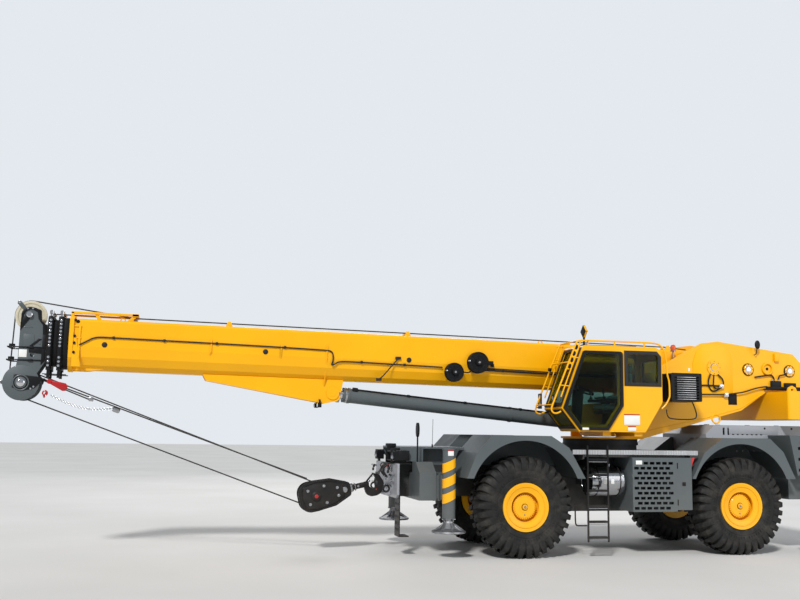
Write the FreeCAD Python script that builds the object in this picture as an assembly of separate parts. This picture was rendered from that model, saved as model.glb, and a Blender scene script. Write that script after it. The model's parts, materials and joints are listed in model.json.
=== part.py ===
"""Rough-terrain mobile crane with its boom down over the front and the hook block lashed back.

Frame: +X from the boom tip to the tail, +Y to the crane's right-hand side, +Z up, ground at z = 0.
The origin is under the middle of the whole length, so the slewing axis stands at SLEW_X, and the
x sizes below count from that axis. The rear outriggers are the front ones turned half a turn
about it. What stands between the axles follows the wheel base. All sizes are millimetres.
"""
import math
import os

import FreeCAD
import Part

V = FreeCAD.Vector
OUT = "parts"
SIDES = (("left", -1), ("right", 1))

# Fits
PIN_GAP = 0.1
SEAT_GAP = 0.3
RUN_GAP = 6.0

# Wheels and axles
TYRE_R = 875.0
TYRE_W = 675.0
TREAD_DEPTH = 40.0
LUG_COUNT = 22
LUG_W = 126.0
LUG_FOOT_R = 640.0
SHOULDER_INSET = 45.0
RIM_FLANGE_R = 418.0
RIM_R = 330.0
RIM_WALL = 30.0
RIM_HALF_W = 300.0
FLANGE_LIP = 38.0
HUB_R = 208.0
HUB_FACE_Y = 215.0
HUB_BACK_Y = -60.0
DISH_HOLE_R = 251.0
DISC_Y = 120.0
DISC_T = 30.0
SPINDLE_R = 90.0
SPINDLE_DEPTH = 130.0
TRACK = 2425.0
WHEEL_BASE = 4180.0
KINGPIN_INSET = 190.0
KINGPIN_R = 55.0
YOKE_OPENING = 300.0
YOKE_PLATE = 40.0
YOKE_HALF_L = 75.0
YOKE_TIP_L = 65.0
AXLE_TUBE_R = 150.0
DIFF_R = 270.0

# Carrier
FRAME_HALF_W = 430.0
FRAME_PLATE = 40.0
FRAME_TOP_Z = 1560.0
FRAME_LOW_Z = 720.0
FRAME_ARCH_Z = 1130.0
FRAME_END_Z = 1000.0
FRAME_TAIL = 430.0
END_PLATE_T = 40.0
END_PLATE_HALF_W = 880.0
DECK_Z = 1830.0
DECK_T = 30.0
HALF_WIDTH = 1540.0
STRIP_T = 20.0
STRIP_H = 80.0
DECK_HALF_X = WHEEL_BASE / 2 - TYRE_R + 5.0
DECK_HALF_Y = HALF_WIDTH - 2 * STRIP_T
FENDER_T = 20.0
FRONT_FENDER = ((-1077.0, 1368.0), (-900.0, 1800.0), (-618.0, 2105.0),
                (468.0, 2105.0), (800.0, 1900.0), (1105.0, 1368.0))
FRONT_ARCH_R = 1020.0
REAR_FENDER = ((-995.0, 1368.0), (-740.0, 1840.0), (-367.0, 2105.0),
               (607.0, 2105.0), (880.0, 1860.0), (1120.0, 1368.0))
REAR_ARCH_R = 1000.0
ARCH_Z = 1000.0
HOOD_TOP_Z = 2350.0
HOOD_FRONT_Z = 2180.0
HOOD_FRONT_X = WHEEL_BASE / 2 - 300.0
HOOD_SLOPE_L = 190.0
HOOD_HALF_W = 840.0
HOOD_WALL = 25.0
HOOD_TAIL = 40.0
PANEL_TOP_Z = 2170.0
PANEL_L = 492.0
PANEL_RAKES = (145.0, 30.0)

# The bay between the fenders, and what stands in it as shares of its length
BAY_START = -WHEEL_BASE / 2 + FRONT_FENDER[-1][0]
BAY_L = WHEEL_BASE / 2 + REAR_FENDER[0][0] - BAY_START
GUARD_BOX_X = (BAY_START + 0.4327 * BAY_L, BAY_START + 0.8514 * BAY_L)
CABINET_END_X = BAY_START + 0.991 * BAY_L
GUARD_BOX_Z = (787.0, 1742.0)
GUARD_WALL = 20.0
BRICK_W = 92.0
BRICK_H = 48.0
BRICK_PITCH_X = 122.0
BRICK_PITCH_Z = 88.0
LADDER_X = (BAY_START + 0.0135 * BAY_L, BAY_START + 0.212 * BAY_L)
LADDER_Z = (270.0, 1950.0)
LADDER_RAIL_W = 60.0
RUNG_PITCH = 270.0
RUNG_COUNT = 6
RUNG_H = 38.0
CANISTER_R = 265.0
CANISTER_X = (BAY_START + 0.0938 * BAY_L, BAY_START + 0.4207 * BAY_L)
CANISTER_Y = -(DECK_HALF_Y - CANISTER_R - 115.0)
CANISTER_Z = 1310.0

# Outriggers
TUBE_W = 300.0
TUBE_H = 460.0
TUBE_WALL = 15.0
TUBE_LOW_Z = 974.0
TUBE_PITCH = 340.0
TUBE_HALF_L = 1200.0
COVER_H = 190.0
JACK_X = WHEEL_BASE / 2 + 1340.0
JACK_Y = 1330.0
JACK_R = 112.0
JACK_BORE_R = 85.0
JACK_TOP_Z = 1870.0
JACK_LOW_Z = 684.0
JACK_ROD_R = 60.0
FLOAT_R = 295.0
FLOAT_Z = 441.0
FLOAT_TOP_Z = 640.0
FLOAT_RIBS = 8
FRAME_END_X = JACK_X + TUBE_PITCH + FRAME_TAIL

# Slewing ring and superstructure; the side plate's outline is (x, z, radius)
RING_R = 720.0
RING_LOW_Z = 1980.0
UPPER_Z = 2060.0
PLATE_Y = 500.0
PLATE_T = 40.0
PIVOT_X = 2172.0
PIVOT_Z = 3466.0
PIVOT_R = 70.0
LIFT_FOOT_X = -90.0
LIFT_FOOT_Z = 2330.0
LIFT_PIN_R = 60.0
LIFT_EYE_R = 115.0
LIFT_EYE_HALF_W = 95.0
WEIGHT_LOW_Z = 2473.0
WEIGHT_TOP_Z = 3007.0
WEIGHT_FRONT_X = 3310.0
WEIGHT_REAR_X = 4300.0
WEIGHT_HALF_W = 1250.0
WEIGHT_CORNER_R = 360.0
SIDE_PLATE = ((-380.0, UPPER_Z, 0.0), (600.0, UPPER_Z, 0.0), (1990.0, 2440.0, 60.0), (2750.0, 2640.0, 80.0),
              (WEIGHT_FRONT_X, WEIGHT_TOP_Z, 0.0), (4150.0, WEIGHT_TOP_Z, 0.0), (4150.0, 3560.0, 60.0),
              (3940.0, 3775.0, 60.0), (2276.0, 3980.0, 80.0), (1920.0, 3935.0, 60.0), (770.0, 3330.0, 90.0),
              (340.0, 2620.0, 120.0), (-380.0, 2460.0, 60.0))
DRUM_PLACES = (("main", 2920.0, 3447.0), ("aux", 3840.0, 3438.0))
DRUM_FLANGE_R = 250.0
DRUM_ROPE_R = 205.0
DRUM_SHAFT_R = 60.0
DRUM_HALF_L = 400.0
COOLER_X = (810.0, 1430.0)
COOLER_Y = (-1360.0, -760.0)
COOLER_Z = (2764.0, 3288.0)

# Boom, along its own axis from the pivot: s forward, h up
BOOM_REST_DEG = 1.0
BOOM_DROP = 110.0
BOOM_W = 640.0
BOOM_H = 870.0
BOOM_WALL = 14.0
SECTION_STEP_W = 70.0
SECTION_STEP_H = 80.0
SECTION_CORNER_R = 50.0
BASE_S = (260.0, 12056.0)
TAIL_S = (700.0, 850.0, 1000.0)
COLLAR_S = (12150.0, 12320.0)
COLLAR_T = 90.0
FLANGE_T = 70.0
FLANGE_GROW = 70.0
LIFT_PIN_S = 7450.0
LIFT_PIN_H = -776.0
KEEL_DEEP_S = 7597.0
KEEL_FRONT_S = 9722.0
KEEL_LOW_H = -966.0
LIFT_BARREL_R = 135.0
LIFT_BORE_R = 112.0
LIFT_ROD_R = 90.0
BARREL_END = 5020.0
BARREL_NECK = 290.0
ROD_START = 1500.0
HEAD_S = (12498.0, 12862.0)
HEAD_PLATE_T = 20.0
TOP_SHEAVE = (12725.0, 352.0, 262.0)
LOW_SHEAVE = (12784.0, -804.0, 240.0)
HEAD_GUARD_R = 300.0
SHEAVE_W = 56.0
SHEAVE_PIN_R = 45.0
JIB_PIN = (12640.0, -330.0, 35.0)

# Cable reels on the base section's left side: x, z, flange radius
REELS = ((-3066.0, 3246.0, 176.0), (-2607.0, 3436.0, 200.0))

# Hook block, from its sheave's centre: u towards the hook, v up
BLOCK_X = -FRAME_END_X - 1347.0
BLOCK_Z = 984.0
BLOCK_TILT_DEG = 12.4
BLOCK_SHEAVE_R = 225.0
CHEEK_R = 262.0
CHEEK_T = 30.0
CHEEK_END_U = 640.0
HOOK_SHANK_R = 50.0
HOOK_EYE_U = 980.0
HOOK_R = 150.0
BLOCK_LANE_Y = 48.0
ROPE_R = 11.0
GROOVE_DEPTH = 26.0

# Cab, in side view
CAB_Y = (-1405.0, -560.0)
CAB_WALL = 55.0
CAB_OUTLINE = ((-1370.0, 2600.0, 0.0), (-1040.0, 2190.0, 0.0), (250.0, 2190.0, 0.0),
               (600.0, 2735.0, 60.0), (600.0, 3740.0, 160.0), (-950.0, 3740.0, 60.0))
DOOR_OUTLINE = ((-1350.0, 2605.0, 0.0), (-1030.0, 2215.0, 0.0), (-490.0, 2215.0, 0.0),
                (-190.0, 2660.0, 0.0), (-190.0, 3640.0, 60.0), (-955.0, 3640.0, 40.0))
REAR_WINDOW_OUTLINE = ((-110.0, 3060.0, 40.0), (540.0, 3060.0, 40.0),
                       (540.0, 3620.0, 90.0), (-110.0, 3620.0, 40.0))
DOORWAY_OUTLINE = ((-1255.0, 2625.0, 0.0), (-1010.0, 2320.0, 0.0), (-520.0, 2320.0, 0.0),
                   (-270.0, 2700.0, 0.0), (-270.0, 3580.0, 50.0), (-925.0, 3580.0, 50.0))
INNER_WINDOW_OUTLINE = ((-1255.0, 2640.0, 30.0), (300.0, 2780.0, 60.0), (470.0, 2900.0, 60.0),
                        (470.0, 3600.0, 60.0), (-925.0, 3600.0, 60.0))
WINDSCREEN_Z = (2680.0, 3640.0)
LOWER_SCREEN_Z = (2285.0, 2560.0)
BACK_WINDOW_Z = (2850.0, 3520.0)
ROOF_WINDOW_X = (-800.0, -60.0)
DOOR_FRAME = 55.0
DOOR_T = 35.0
GLASS_T = 6.0

BOOM_TILT = math.radians(BOOM_REST_DEG)
HEAD_REACH = (LOW_SHEAVE[0] * math.cos(BOOM_TILT) - LOW_SHEAVE[1] * math.sin(BOOM_TILT)
              + HEAD_GUARD_R - PIVOT_X)
SLEW_X = (HEAD_REACH - WEIGHT_REAR_X) / 2


# Helpers
def box(x0, x1, y0, y1, z0, z1):
    """Block between two x, two y and two z planes; x counts from the slewing axis."""
    return Part.makeBox(x1 - x0, y1 - y0, z1 - z0, V(SLEW_X + x0, y0, z0))


def rod(x, y, z, r, length, axis):
    """Cylinder that starts at (x, y, z) and runs along axis; x counts from the slewing axis."""
    return Part.makeCylinder(r, length, V(SLEW_X + x, y, z), V(*axis))


def outline_face(corners, place):
    """Flat face inside (a, b, radius) corners, where place turns (a, b) into a point."""
    edges = []
    last = None
    first = None
    count = len(corners)
    for i, (a, b, radius) in enumerate(corners):
        here = V(a, b, 0)
        if radius == 0:
            enter = leave = here
        else:
            before = (V(corners[i - 1][0], corners[i - 1][1], 0) - here).normalize()
            after = corners[(i + 1) % count]
            after = (V(after[0], after[1], 0) - here).normalize()
            half = before.getAngle(after) / 2
            enter = here + before * (radius / math.tan(half))
            leave = here + after * (radius / math.tan(half))
            inward = (before + after).normalize()
            middle = here + inward * (radius / math.sin(half) - radius)
        if last is not None and last.distanceToPoint(enter) > 1e-6:
            edges.append(Part.LineSegment(place(last.x, last.y), place(enter.x, enter.y)).toShape())
        if radius > 0:
            arc = Part.Arc(place(enter.x, enter.y), place(middle.x, middle.y), place(leave.x, leave.y))
            edges.append(arc.toShape())
        if first is None:
            first = enter
        last = leave
    if last.distanceToPoint(first) > 1e-6:
        edges.append(Part.LineSegment(place(last.x, last.y), place(first.x, first.y)).toShape())
    return Part.Face(Part.Wire(edges))


def sharp(points):
    """Corners with no radius."""
    return [(a, b, 0.0) for a, b in points]


def side_prism(corners, y0, y1):
    """Side-view outline (x, z, radius) run from y0 to y1."""
    return outline_face(corners, lambda a, b: V(SLEW_X + a, y0, b)).extrude(V(0, y1 - y0, 0))


def front_prism(corners, x0, x1):
    """Front-view outline (y, z, radius) run from x0 to x1."""
    return outline_face(corners, lambda a, b: V(SLEW_X + x0, a, b)).extrude(V(x1 - x0, 0, 0))


def plan_prism(corners, z0, z1):
    """Plan outline (x, y, radius) run from z0 to z1."""
    return outline_face(corners, lambda a, b: V(SLEW_X + a, b, z0)).extrude(V(0, 0, z1 - z0))


def rectangle(a0, a1, b0, b1, radius=0.0):
    """Rectangle corners, all with one radius."""
    return [(a0, b0, radius), (a1, b0, radius), (a1, b1, radius), (a0, b1, radius)]


def turned_profile(points):
    """Solid of revolution about the Y axis from (radius, y) points."""
    edges = [V(r, y, 0) for r, y in points]
    face = Part.Face(Part.makePolygon(edges + [edges[0]]))
    return face.revolve(V(0, 0, 0), V(0, 1, 0), 360)


def moved(shape, x, y, z):
    """Copy of a shape moved by x, y, z."""
    copy = shape.copy()
    copy.translate(V(x, y, z))
    return copy


def mirrored(shape):
    """The same shape on the other side of the crane."""
    return shape.mirror(V(0, 0, 0), V(0, 1, 0))


def half_turn(shape):
    """Copy of a front shape as its rear one: half a turn about the slewing axis."""
    copy = shape.copy()
    copy.rotate(V(SLEW_X, 0, 0), V(0, 0, 1), 180)
    return copy


def fused(shapes):
    """One solid from shapes that overlap or touch."""
    whole = shapes[0].multiFuse(shapes[1:]).removeSplitter()
    return whole.Solids[0] if len(whole.Solids) == 1 else whole


def inset(points, distance):
    """Open polyline moved to its right-hand side by a distance, with its corners kept."""
    lines = []
    for (a0, b0), (a1, b1) in zip(points, points[1:]):
        length = math.hypot(a1 - a0, b1 - b0)
        normal = ((b1 - b0) / length, -(a1 - a0) / length)
        lines.append((a0 + normal[0] * distance, b0 + normal[1] * distance,
                      a1 + normal[0] * distance, b1 + normal[1] * distance))
    found = [lines[0][:2]]
    for (xa, ya, xb, yb), (xc, yc, xd, yd) in zip(lines, lines[1:]):
        cross = (xb - xa) * (yd - yc) - (yb - ya) * (xd - xc)
        t = ((xc - xa) * (yd - yc) - (yc - ya) * (xd - xc)) / cross
        found.append((xa + (xb - xa) * t, ya + (yb - ya) * t))
    found.append(lines[-1][2:])
    return found


def save(name, *shapes):
    """Write one node's solids as a STEP file."""
    solids = [solid for shape in shapes for solid in shape.Solids]
    node = solids[0] if len(solids) == 1 else Part.makeCompound(solids)
    node.exportStep(os.path.join(OUT, name + ".step"))


# Wheels, knuckles and axles, at the origin with the axis along Y and the outer face towards +Y
def tyre():
    """Earthmover tyre: one sector with its straight lug, repeated round the axle."""
    half = TYRE_W / 2
    crown = TYRE_R - TREAD_DEPTH
    bead = RIM_HALF_W - FLANGE_LIP
    shoulder = half - SHOULDER_INSET
    carcass = [(bead, RIM_R), (bead, RIM_FLANGE_R), (half - 12, LUG_FOOT_R), (shoulder, crown - 60),
               (shoulder - 90, crown)]
    lug = [(half - 30, LUG_FOOT_R - 30), (half, LUG_FOOT_R + 30), (half - 22, TYRE_R - 95),
           (shoulder - 100, TYRE_R)]

    def slab(right, width):
        """Flat-topped slab as wide as given, from the right half of its section (y, z)."""
        section = [(y, z, 0) for y, z in right] + [(-y, z, 0) for y, z in reversed(right)]
        face = outline_face(section, lambda y, z: V(-width / 2, y, z))
        return face.extrude(V(width, 0, 0))

    half_angle = math.pi / LUG_COUNT
    spread = 2 * TYRE_R * math.tan(half_angle)
    wedge = Part.Face(Part.makePolygon([V(0, -half, 0), V(-spread, -half, 2 * TYRE_R),
                                        V(spread, -half, 2 * TYRE_R), V(0, -half, 0)]))
    sector = fused([slab(carcass, 2 * spread), slab(lug, LUG_W)])
    sector = sector.common(wedge.extrude(V(0, TYRE_W, 0)))
    sectors = []
    for i in range(LUG_COUNT):
        copy = sector.copy()
        copy.rotate(V(0, 0, 0), V(0, 1, 0), i * 360.0 / LUG_COUNT)
        sectors.append(copy)
    return fused(sectors)


def rim():
    """Dished disc wheel with its planetary hub, bored from behind for the spindle."""
    bore = SPINDLE_R + PIN_GAP
    inner = RIM_R - RIM_WALL
    lip = RIM_HALF_W - FLANGE_LIP
    return turned_profile([
        (0, HUB_FACE_Y + 20), (60, HUB_FACE_Y + 20), (70, HUB_FACE_Y), (HUB_R - 12, HUB_FACE_Y),
        (HUB_R, HUB_FACE_Y - 12), (HUB_R, DISC_Y + DISC_T), (inner, DISC_Y + DISC_T), (inner, lip - 40),
        (DISH_HOLE_R, lip - 40), (DISH_HOLE_R, lip), (RIM_R, RIM_HALF_W - 15), (RIM_FLANGE_R, RIM_HALF_W),
        (RIM_FLANGE_R, lip), (RIM_R, lip), (RIM_R, -lip), (RIM_FLANGE_R, -lip),
        (RIM_FLANGE_R, -RIM_HALF_W), (inner, -RIM_HALF_W), (inner, DISC_Y), (HUB_R, DISC_Y),
        (HUB_R, HUB_BACK_Y), (bore, HUB_BACK_Y), (bore, SPINDLE_DEPTH - 55), (0, SPINDLE_DEPTH - 55)])


def knuckle():
    """Steering knuckle: kingpin barrel, neck, flange and spindle."""
    barrel = YOKE_OPENING - 2 * RUN_GAP
    flange = HUB_BACK_Y - RUN_GAP
    upright = Part.makeCylinder(100, barrel, V(0, -KINGPIN_INSET, -barrel / 2))
    neck = Part.makeCylinder(105, KINGPIN_INSET + flange - 20, V(0, -KINGPIN_INSET, 0), V(0, 1, 0))
    plate = Part.makeCylinder(180, 25, V(0, flange - 25, 0), V(0, 1, 0))
    spindle = Part.makeCylinder(SPINDLE_R, SPINDLE_DEPTH - 60 - flange, V(0, flange, 0), V(0, 1, 0))
    arm = Part.makeBox(240, 60, 40, V(0, -KINGPIN_INSET - 30, -barrel / 2 + 20))
    bore = Part.makeCylinder(KINGPIN_R + SEAT_GAP, barrel, V(0, -KINGPIN_INSET, -barrel / 2))
    return fused([upright, neck, plate, spindle, arm]).cut(bore)


def axle(x):
    """Drive axle with its differential, yokes, kingpins and frame seats, centred at x."""
    z = TYRE_R
    kingpin_y = TRACK / 2 - KINGPIN_INSET
    tube_end = kingpin_y - YOKE_HALF_L - 75
    pieces = [rod(x, -tube_end, z, AXLE_TUBE_R, 2 * tube_end, (0, 1, 0))]
    bowl = turned_profile([(0, -DIFF_R), (150, -DIFF_R), (DIFF_R, -120), (DIFF_R, 120), (150, DIFF_R),
                           (0, DIFF_R)])
    pieces.append(moved(bowl, SLEW_X + x, 0, z))
    for _, side in SIDES:
        seat_y = side * (FRAME_HALF_W - FRAME_PLATE / 2)
        pieces.append(box(x - 110, x + 110, seat_y - 55, seat_y + 55, z, FRAME_ARCH_Z))
        web = sorted((side * (tube_end - 40), side * (kingpin_y - YOKE_HALF_L - 40)))
        half_h = YOKE_OPENING / 2 + YOKE_PLATE
        pieces.append(box(x - YOKE_HALF_L, x + YOKE_HALF_L, web[0], web[1], z - half_h, z + half_h))
        reach = sorted((side * (kingpin_y - YOKE_HALF_L - 41), side * (kingpin_y + YOKE_TIP_L)))
        for level in (-1, 1):
            low = z + level * YOKE_OPENING / 2 - (YOKE_PLATE if level < 0 else 0)
            pieces.append(box(x - YOKE_HALF_L, x + YOKE_HALF_L, reach[0], reach[1], low, low + YOKE_PLATE))
            pin = rod(x, side * kingpin_y, z + level * (half_h - 10), KINGPIN_R, half_h - 70, (0, 0, -level))
            pieces.append(pin)
    return fused(pieces)


# Carrier
def carrier_frame():
    """Box frame with wheel arches, notches for the outrigger boxes and the slewing ring's seat."""
    tube_near = JACK_X - TUBE_W / 2
    tube_far = JACK_X + TUBE_PITCH + TUBE_W / 2
    tube_top = TUBE_LOW_Z + TUBE_H
    axle_x = WHEEL_BASE / 2
    half = [(FRAME_END_X, FRAME_TOP_Z), (FRAME_END_X, FRAME_END_Z), (tube_far, FRAME_END_Z),
            (tube_far, tube_top), (tube_near, tube_top), (tube_near, FRAME_END_Z),
            (axle_x + 710, FRAME_END_Z), (axle_x + 530, FRAME_ARCH_Z), (axle_x - 530, FRAME_ARCH_Z),
            (axle_x - 790, FRAME_LOW_Z)]
    outline = half + [(-x, z) for x, z in reversed(half)]
    inner = FRAME_HALF_W - FRAME_PLATE
    pieces = [side_prism(sharp(outline), side * inner, side * FRAME_HALF_W) for _, side in SIDES]
    pieces.append(box(-FRAME_END_X, FRAME_END_X, -inner, inner, FRAME_TOP_Z - 30, FRAME_TOP_Z))
    floor_x = axle_x - 790
    pieces.append(box(-floor_x, floor_x, -inner, inner, FRAME_LOW_Z, FRAME_LOW_Z + 30))
    for x in (-floor_x, floor_x - 30):
        pieces.append(box(x, x + 30, -inner, inner, FRAME_LOW_Z, FRAME_TOP_Z))
    seat = rod(0, 0, FRAME_TOP_Z - 1, RING_R - 30, RING_LOW_Z - FRAME_TOP_Z + 1, (0, 0, 1))
    flange = rod(0, 0, RING_LOW_Z - 35, RING_R, 35, (0, 0, 1))
    hole = rod(0, 0, FRAME_TOP_Z - 50, RING_R - 130, UPPER_Z - FRAME_TOP_Z + 60, (0, 0, 1))
    bearing = rod(0, 0, RING_LOW_Z, RING_R - 10, UPPER_Z - RING_LOW_Z - SEAT_GAP, (0, 0, 1))
    return fused(pieces + [seat, flange, bearing]).cut(hole)


def end_plate():
    """Light plate across the carrier's nose, pierced for stowage pins, with two bored tie-down lugs."""
    x0 = -FRAME_END_X - END_PLATE_T
    w = END_PLATE_HALF_W
    top = FRAME_TOP_Z + 30
    low = FRAME_END_Z - 10
    outline = [(-w, low + 60, 0), (-w + 60, low, 30), (w - 60, low, 30), (w, low + 60, 0), (w, top, 20),
               (240, top, 0), (200, top - 90, 20), (-200, top - 90, 20), (-240, top, 0), (-w, top, 20)]
    plate = front_prism(outline, x0, -FRAME_END_X)
    cuts = []
    for y in (-560, -330, 330, 560):
        cuts.append(front_prism(rectangle(y - 32, y + 32, 1165, 1230, 8), x0 - 1, -FRAME_END_X + 1))
        cuts.append(front_prism(rectangle(y - 24, y + 24, 1270, 1370, 20), x0 - 1, -FRAME_END_X + 1))
    for y in (-450, 450):
        cuts.append(front_prism(rectangle(y - 40, y + 40, 1430, 1500, 12), x0 - 1, -FRAME_END_X + 1))
    lugs = []
    z = FRAME_END_Z + 90
    for y in (-300, 260):
        ear = side_prism([(x0, z - 70, 0), (x0, z + 70, 0), (x0 - 90, z + 55, 50), (x0 - 90, z - 55, 50)],
                         y, y + 40)
        lugs.append(ear.cut(rod(x0 - 50, y - 1, z, 30, 42, (0, 1, 0))))
    return fused([plate.cut(Part.makeCompound(cuts))] + lugs)


def front_deck():
    """Deck over the front outriggers, on two webs, with sloped cheeks at its front corners."""
    x0 = -FRAME_END_X + 50
    x1 = -WHEEL_BASE / 2 + FRONT_FENDER[0][0]
    low = TUBE_LOW_Z + TUBE_H + COVER_H
    pieces = [box(x0, x1 + 200, -700, 700, 1850, 1880)]
    for _, side in SIDES:
        web = sorted((side * (FRAME_HALF_W - FRAME_PLATE), side * FRAME_HALF_W))
        pieces.append(box(x0, x1, web[0], web[1], FRAME_TOP_Z, 1850))
        cheek = [(x0, 1880), (x0 + 420, 1880), (x0 + 420, low), (x0 + 120, low), (x0, 1740)]
        pieces.append(side_prism(sharp(cheek), side * 680, side * 700))
    return fused(pieces)


def headlamps():
    """Round headlamps in square buckets on the end plate."""
    lamps = []
    face = -FRAME_END_X - END_PLATE_T
    for _, side in SIDES:
        y = side * 700
        z = FRAME_TOP_Z + 30
        bracket = box(face, face + 30, y - 60, y + 60, z, z + 40)
        bucket = front_prism(rectangle(y - 95, y + 95, z + 40, z + 220, 30), face - 40, face + 90)
        lens = rod(face - 40, y, z + 130, 72, 14, (-1, 0, 0))
        lamps.append(fused([bracket, bucket, lens]))
    return lamps


def hanging_step():
    """Black perforated boarding step that hangs below the end plate's left end."""
    face = -FRAME_END_X
    y0 = -END_PLATE_HALF_W
    plate = box(face, face + 20, y0, y0 + 330, 330, FRAME_END_Z + 120)
    tread = box(face, face + 180, y0, y0 + 330, 330, 350)
    holes = [rod(face - 1, y0 + 65 + 100 * i, 450 + 110 * j, 28, 22, (1, 0, 0))
             for i in range(3) for j in range(5)]
    return fused([plate, tread]).cut(Part.makeCompound(holes))


def fender(x, outline, arch_r, side):
    """Fender over the axle at x: a bent sheet with an arched outer band and an inner wall."""
    outer = [(x + a, b) for a, b in outline]
    inner = inset(outer, FENDER_T)
    low = outer[0][1]
    inner[0] = (inner[0][0], low - 1)
    inner[-1] = (inner[-1][0], low - 1)
    hull = side_prism(sharp(outer), side * FRAME_HALF_W, side * HALF_WIDTH)
    sheet = hull.cut(side_prism(sharp(inner), side * (FRAME_HALF_W - 10), side * (HALF_WIDTH + 10)))
    band = side_prism(sharp(outer), side * (HALF_WIDTH - FENDER_T), side * HALF_WIDTH)
    band = band.cut(rod(x, side * (HALF_WIDTH + 20), ARCH_Z, arch_r, 80, (0, -side, 0)))
    wall = side_prism(sharp(outer), side * (FRAME_HALF_W - 20), side * FRAME_HALF_W)
    above = box(x - 2000, x + 2000, -HALF_WIDTH, HALF_WIDTH, FRAME_TOP_Z, FRAME_TOP_Z + 1000)
    return fused([sheet, band, wall.common(above)])


def deck():
    """Chequered deck round the slewing ring, on cross ribs that stand on the frame."""
    plate = box(-DECK_HALF_X, DECK_HALF_X, -DECK_HALF_Y, DECK_HALF_Y, DECK_Z - DECK_T, DECK_Z)
    under = DECK_Z - DECK_T
    rib = [(-DECK_HALF_Y, under), (-DECK_HALF_Y, under - 90), (-FRAME_HALF_W, FRAME_TOP_Z),
           (FRAME_HALF_W, FRAME_TOP_Z), (DECK_HALF_Y, under - 90), (DECK_HALF_Y, under)]
    x0, x1 = LADDER_X[0] - 50, CABINET_END_X + 2
    ribs = [front_prism(sharp(rib), x, x + 12) for x in (x0, x1)]
    beams = [box(x0, x1, y, y + 60, GUARD_BOX_Z[1], under) for y in (-DECK_HALF_Y + 100, DECK_HALF_Y - 160)]
    hole = rod(0, 0, FRAME_TOP_Z, RING_R + 20, 1000, (0, 0, 1))
    return fused([plate] + ribs + beams).cut(hole)


def deck_strips():
    """Bright edge strips along both sides of the deck."""
    strips = []
    for _, side in SIDES:
        y0, y1 = sorted((side * DECK_HALF_Y, side * (DECK_HALF_Y + STRIP_T)))
        strips.append(box(-DECK_HALF_X, DECK_HALF_X, y0, y1, DECK_Z - STRIP_H / 2, DECK_Z + STRIP_H / 2))
    return strips


def ladders():
    """Side ladders against the deck's edge strips: two rails and their rungs."""
    found = []
    thick = LADDER_RAIL_W / 2
    for _, side in SIDES:
        y0, y1 = sorted((side * (DECK_HALF_Y + STRIP_T), side * HALF_WIDTH))
        pieces = [side_prism(rectangle(x, x + thick, LADDER_Z[0], LADDER_Z[1], 10), y0, y1)
                  for x in (LADDER_X[0], LADDER_X[1] - thick)]
        y0, y1 = sorted((side * (DECK_HALF_Y - 50), side * HALF_WIDTH))
        for i in range(RUNG_COUNT):
            z = LADDER_Z[0] + 60 + i * RUNG_PITCH
            corners = rectangle(LADDER_X[0] + thick, LADDER_X[1] - thick, z, z + RUNG_H, 8)
            pieces.append(side_prism(corners, y0, y1))
        found.append(fused(pieces))
    return found


def canister():
    """Polished canister with domed ends on two saddles from the frame."""
    r = CANISTER_R
    length = CANISTER_X[1] - CANISTER_X[0]
    shell = turned_profile([(0, 0), (r - 60, 0), (r - 15, 25), (r, 60), (r, length - 60),
                            (r - 15, length - 25), (r - 60, length), (0, length)])
    shell.rotate(V(0, 0, 0), V(0, 0, 1), -90)
    shell = moved(shell, SLEW_X + CANISTER_X[0], CANISTER_Y, CANISTER_Z)
    saddles = [box(x - 30, x + 30, CANISTER_Y, -FRAME_HALF_W, CANISTER_Z - 90, CANISTER_Z + 90)
               for x in (CANISTER_X[0] + 120, CANISTER_X[1] - 120)]
    return fused([shell] + saddles)


def ring_room():
    """Room round the slewing ring's seat, left out of what stands beside it."""
    return rod(0, 0, FRAME_TOP_Z - 2, RING_R, 1000, (0, 0, 1))


def guard_box():
    """Left side box with a brick-pierced guard in front and a plain cabinet behind it."""
    y0 = -HALF_WIDTH
    y1 = -FRAME_HALF_W
    z0, z1 = GUARD_BOX_Z
    x0, x1 = GUARD_BOX_X
    w = GUARD_WALL
    shell = box(x0, x1, y0, y1, z0, z1).cut(box(x0 + w, x1 - w, y0 + w, y1 - w, z0 + w, z1 - w))
    bricks = []
    rows = int((z1 - z0 - 2 * w) / BRICK_PITCH_Z)
    for row in range(rows):
        z = z0 + w + 20 + row * BRICK_PITCH_Z
        shift = BRICK_PITCH_X / 2 if row % 2 else 0
        columns = int((x1 - x0 - 2 * w - shift) / BRICK_PITCH_X)
        for column in range(columns):
            x = x0 + w + 12 + shift + column * BRICK_PITCH_X
            bricks.append(box(x, x + BRICK_W, y0 - 1, y0 + w + 1, z, z + BRICK_H))
    cabinet = side_prism(rectangle(x1, CABINET_END_X, z0 + 28, z1, 15), y0, y1)
    return fused([shell.cut(Part.makeCompound(bricks)), cabinet]).cut(ring_room())


def right_tank():
    """Fuel tank on the right side, rounded along its length."""
    corners = rectangle(FRAME_HALF_W, DECK_HALF_Y, GUARD_BOX_Z[0], GUARD_BOX_Z[1], 90)
    corners[0] = (FRAME_HALF_W, GUARD_BOX_Z[0], 0)
    corners[3] = (FRAME_HALF_W, GUARD_BOX_Z[1], 0)
    tank = front_prism(corners, -400, CABINET_END_X)
    filler = rod(200, DECK_HALF_Y - 40, GUARD_BOX_Z[1] - 160, 55, 70, (0, 1, 0.4))
    return fused([tank, filler]).cut(ring_room())


def engine_block():
    """The engine as one plain block on the frame."""
    half = FRAME_HALF_W - 2 * HOOD_WALL - 10
    x0 = HOOD_FRONT_X + HOOD_SLOPE_L + 320
    return box(x0, FRAME_END_X - 300, -half, half, FRAME_TOP_Z, HOOD_TOP_Z - 110)


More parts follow.
